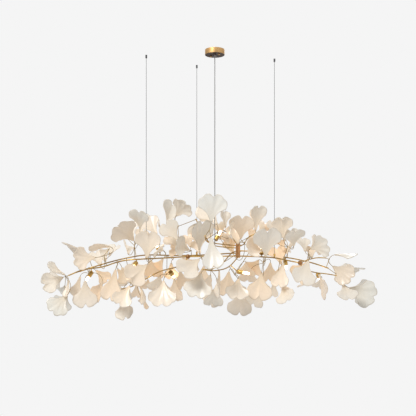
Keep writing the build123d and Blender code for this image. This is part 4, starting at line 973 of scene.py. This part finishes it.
class CHANDELIER_OT_leaves(bpy.types.Operator):
    """Build the porcelain leaves of every group."""

    bl_idname = "chandelier.leaves"
    bl_label = "Leaves"

    def execute(self, context):
        look = context.scene.chandelier.leaf
        glaze = porcelain(look)
        kinds = leaf_kinds()
        lamps = lamp_middles()
        for group in LEAF_GROUPS:
            build_leaves(group, look, kinds, lamps, glaze)
        return {"FINISHED"}


class CHANDELIER_OT_stage(bpy.types.Operator):
    """Lay the floor and set the studio light."""

    bl_idname = "chandelier.stage"
    bl_label = "Stage"

    def execute(self, context):
        look = context.scene.chandelier.stage
        self.sky(context, look)
        self.floor(context, look)
        for name, (place, share, size) in STUDIO_LAMPS.items():
            self.lamp(context, name, place, share * look.key, size)
        context.scene.view_settings.view_transform = "Standard"
        return {"FINISHED"}

    def seen_directly(self, tree):
        """One where the paper colour shows: to the viewer, in reflections and through glass."""
        path = tree.nodes.new("ShaderNodeLightPath")
        total = path.outputs["Is Camera Ray"]
        for name in ("Is Glossy Ray", "Is Transmission Ray"):
            total = calculate(tree, "ADD", total, path.outputs[name], clamp=True)
        return total

    def sky(self, context, look):
        """Even light from all round, with the paper's brightness where it is seen."""
        world = bpy.data.worlds.new("studio")
        world.use_nodes = True
        context.scene.world = world
        tree = world.node_tree
        paper = add_node(tree, "ShaderNodeBackground", Color=(look.paper,) * 3, Strength=1.0)
        light = add_node(tree, "ShaderNodeBackground", Color=SKY_COLOUR, Strength=look.sky)
        mixed = mix_shaders(tree, self.seen_directly(tree), light.outputs[0], paper.outputs[0])
        tree.links.new(mixed, tree.nodes["World Output"].inputs["Surface"])

    def floor(self, context, look):
        """A pale floor under the lamp."""
        mesh = bpy.data.meshes.new("pale_floor")
        signs = ((-1, -1), (1, -1), (1, 1), (-1, 1))
        corners = [(x * FLOOR_HALF, y * FLOOR_HALF, 0) for x, y in signs]
        mesh.from_pydata(corners, [], [(0, 1, 2, 3)])
        material, tree, shader = new_material("pale_floor")
        cloud = place_group(tree, "Mottle", Scale=FLOOR_CLOUD_SCALE, Contrast=FLOOR_CONTRAST)
        tone = mix_colours(tree, cloud.outputs["Value"], *FLOOR_TONES)
        tree.links.new(tone, shader.inputs["Base Color"])
        shader.inputs["Roughness"].default_value = FLOOR_ROUGHNESS
        paper = add_node(tree, "ShaderNodeEmission", Color=(look.paper,) * 3, Strength=1.0)
        place = tree.nodes.new("ShaderNodeTexCoord")
        away = tree.nodes.new("ShaderNodeVectorMath")
        away.operation = "LENGTH"
        tree.links.new(place.outputs["Object"], away.inputs[0])
        faded = between(tree, away.outputs["Value"], *FLOOR_PAPER, *FLOOR_FADE)
        share = calculate(tree, "MULTIPLY", self.seen_directly(tree), faded)
        mixed = mix_shaders(tree, share, shader.outputs[0], paper.outputs[0])
        tree.links.new(mixed, tree.nodes["Material Output"].inputs["Surface"])
        mesh.materials.append(material)
        floor = bpy.data.objects.new("pale_floor", mesh)
        floor.location.z = FLOOR_HEIGHT
        context.scene.collection.objects.link(floor)

    def lamp(self, context, name, place, power, size):
        """A soft square lamp that points at the middle of the leaves."""
        data = bpy.data.lights.new(name, "AREA")
        data.energy = power
        data.size = size
        lamp = bpy.data.objects.new(name, data)
        lamp.location = place
        aim = Vector(LAMP_AIM) - lamp.location
        lamp.rotation_euler = aim.to_track_quat("-Z", "Y").to_euler()
        context.scene.collection.objects.link(lamp)


class CHANDELIER_PT_panel(bpy.types.Panel):
    """The steps that dress the chandelier."""

    bl_idname = "CHANDELIER_PT_panel"
    bl_label = "Chandelier"
    bl_space_type = "VIEW_3D"
    bl_region_type = "UI"
    bl_category = "Chandelier"

    def draw(self, context):
        for operator in OPERATORS:
            self.layout.operator(operator.bl_idname)


OPERATORS = (
    CHANDELIER_OT_camera,
    CHANDELIER_OT_finishes,
    CHANDELIER_OT_wires,
    CHANDELIER_OT_cord,
    CHANDELIER_OT_canopy,
    CHANDELIER_OT_branches,
    CHANDELIER_OT_lamps,
    CHANDELIER_OT_leaves,
    CHANDELIER_OT_stage,
)
CLASSES = (LeafLook, MetalLook, LampLook, StageLook, ChandelierLook, *OPERATORS, CHANDELIER_PT_panel)


def register():
    """Make the classes and settings known."""
    for cls in CLASSES:
        bpy.utils.register_class(cls)
    bpy.types.Scene.chandelier = PointerProperty(type=ChandelierLook)


def unregister():
    """Take the settings and classes away."""
    del bpy.types.Scene.chandelier
    for cls in reversed(CLASSES):
        bpy.utils.unregister_class(cls)


def main():
    """Run every step in order."""
    register()
    bpy.ops.chandelier.camera()
    bpy.ops.chandelier.finishes()
    bpy.ops.chandelier.wires()
    bpy.ops.chandelier.cord()
    bpy.ops.chandelier.canopy()
    bpy.ops.chandelier.branches()
    bpy.ops.chandelier.lamps()
    bpy.ops.chandelier.leaves()
    bpy.ops.chandelier.stage()


if __name__ == "__main__":
    main()
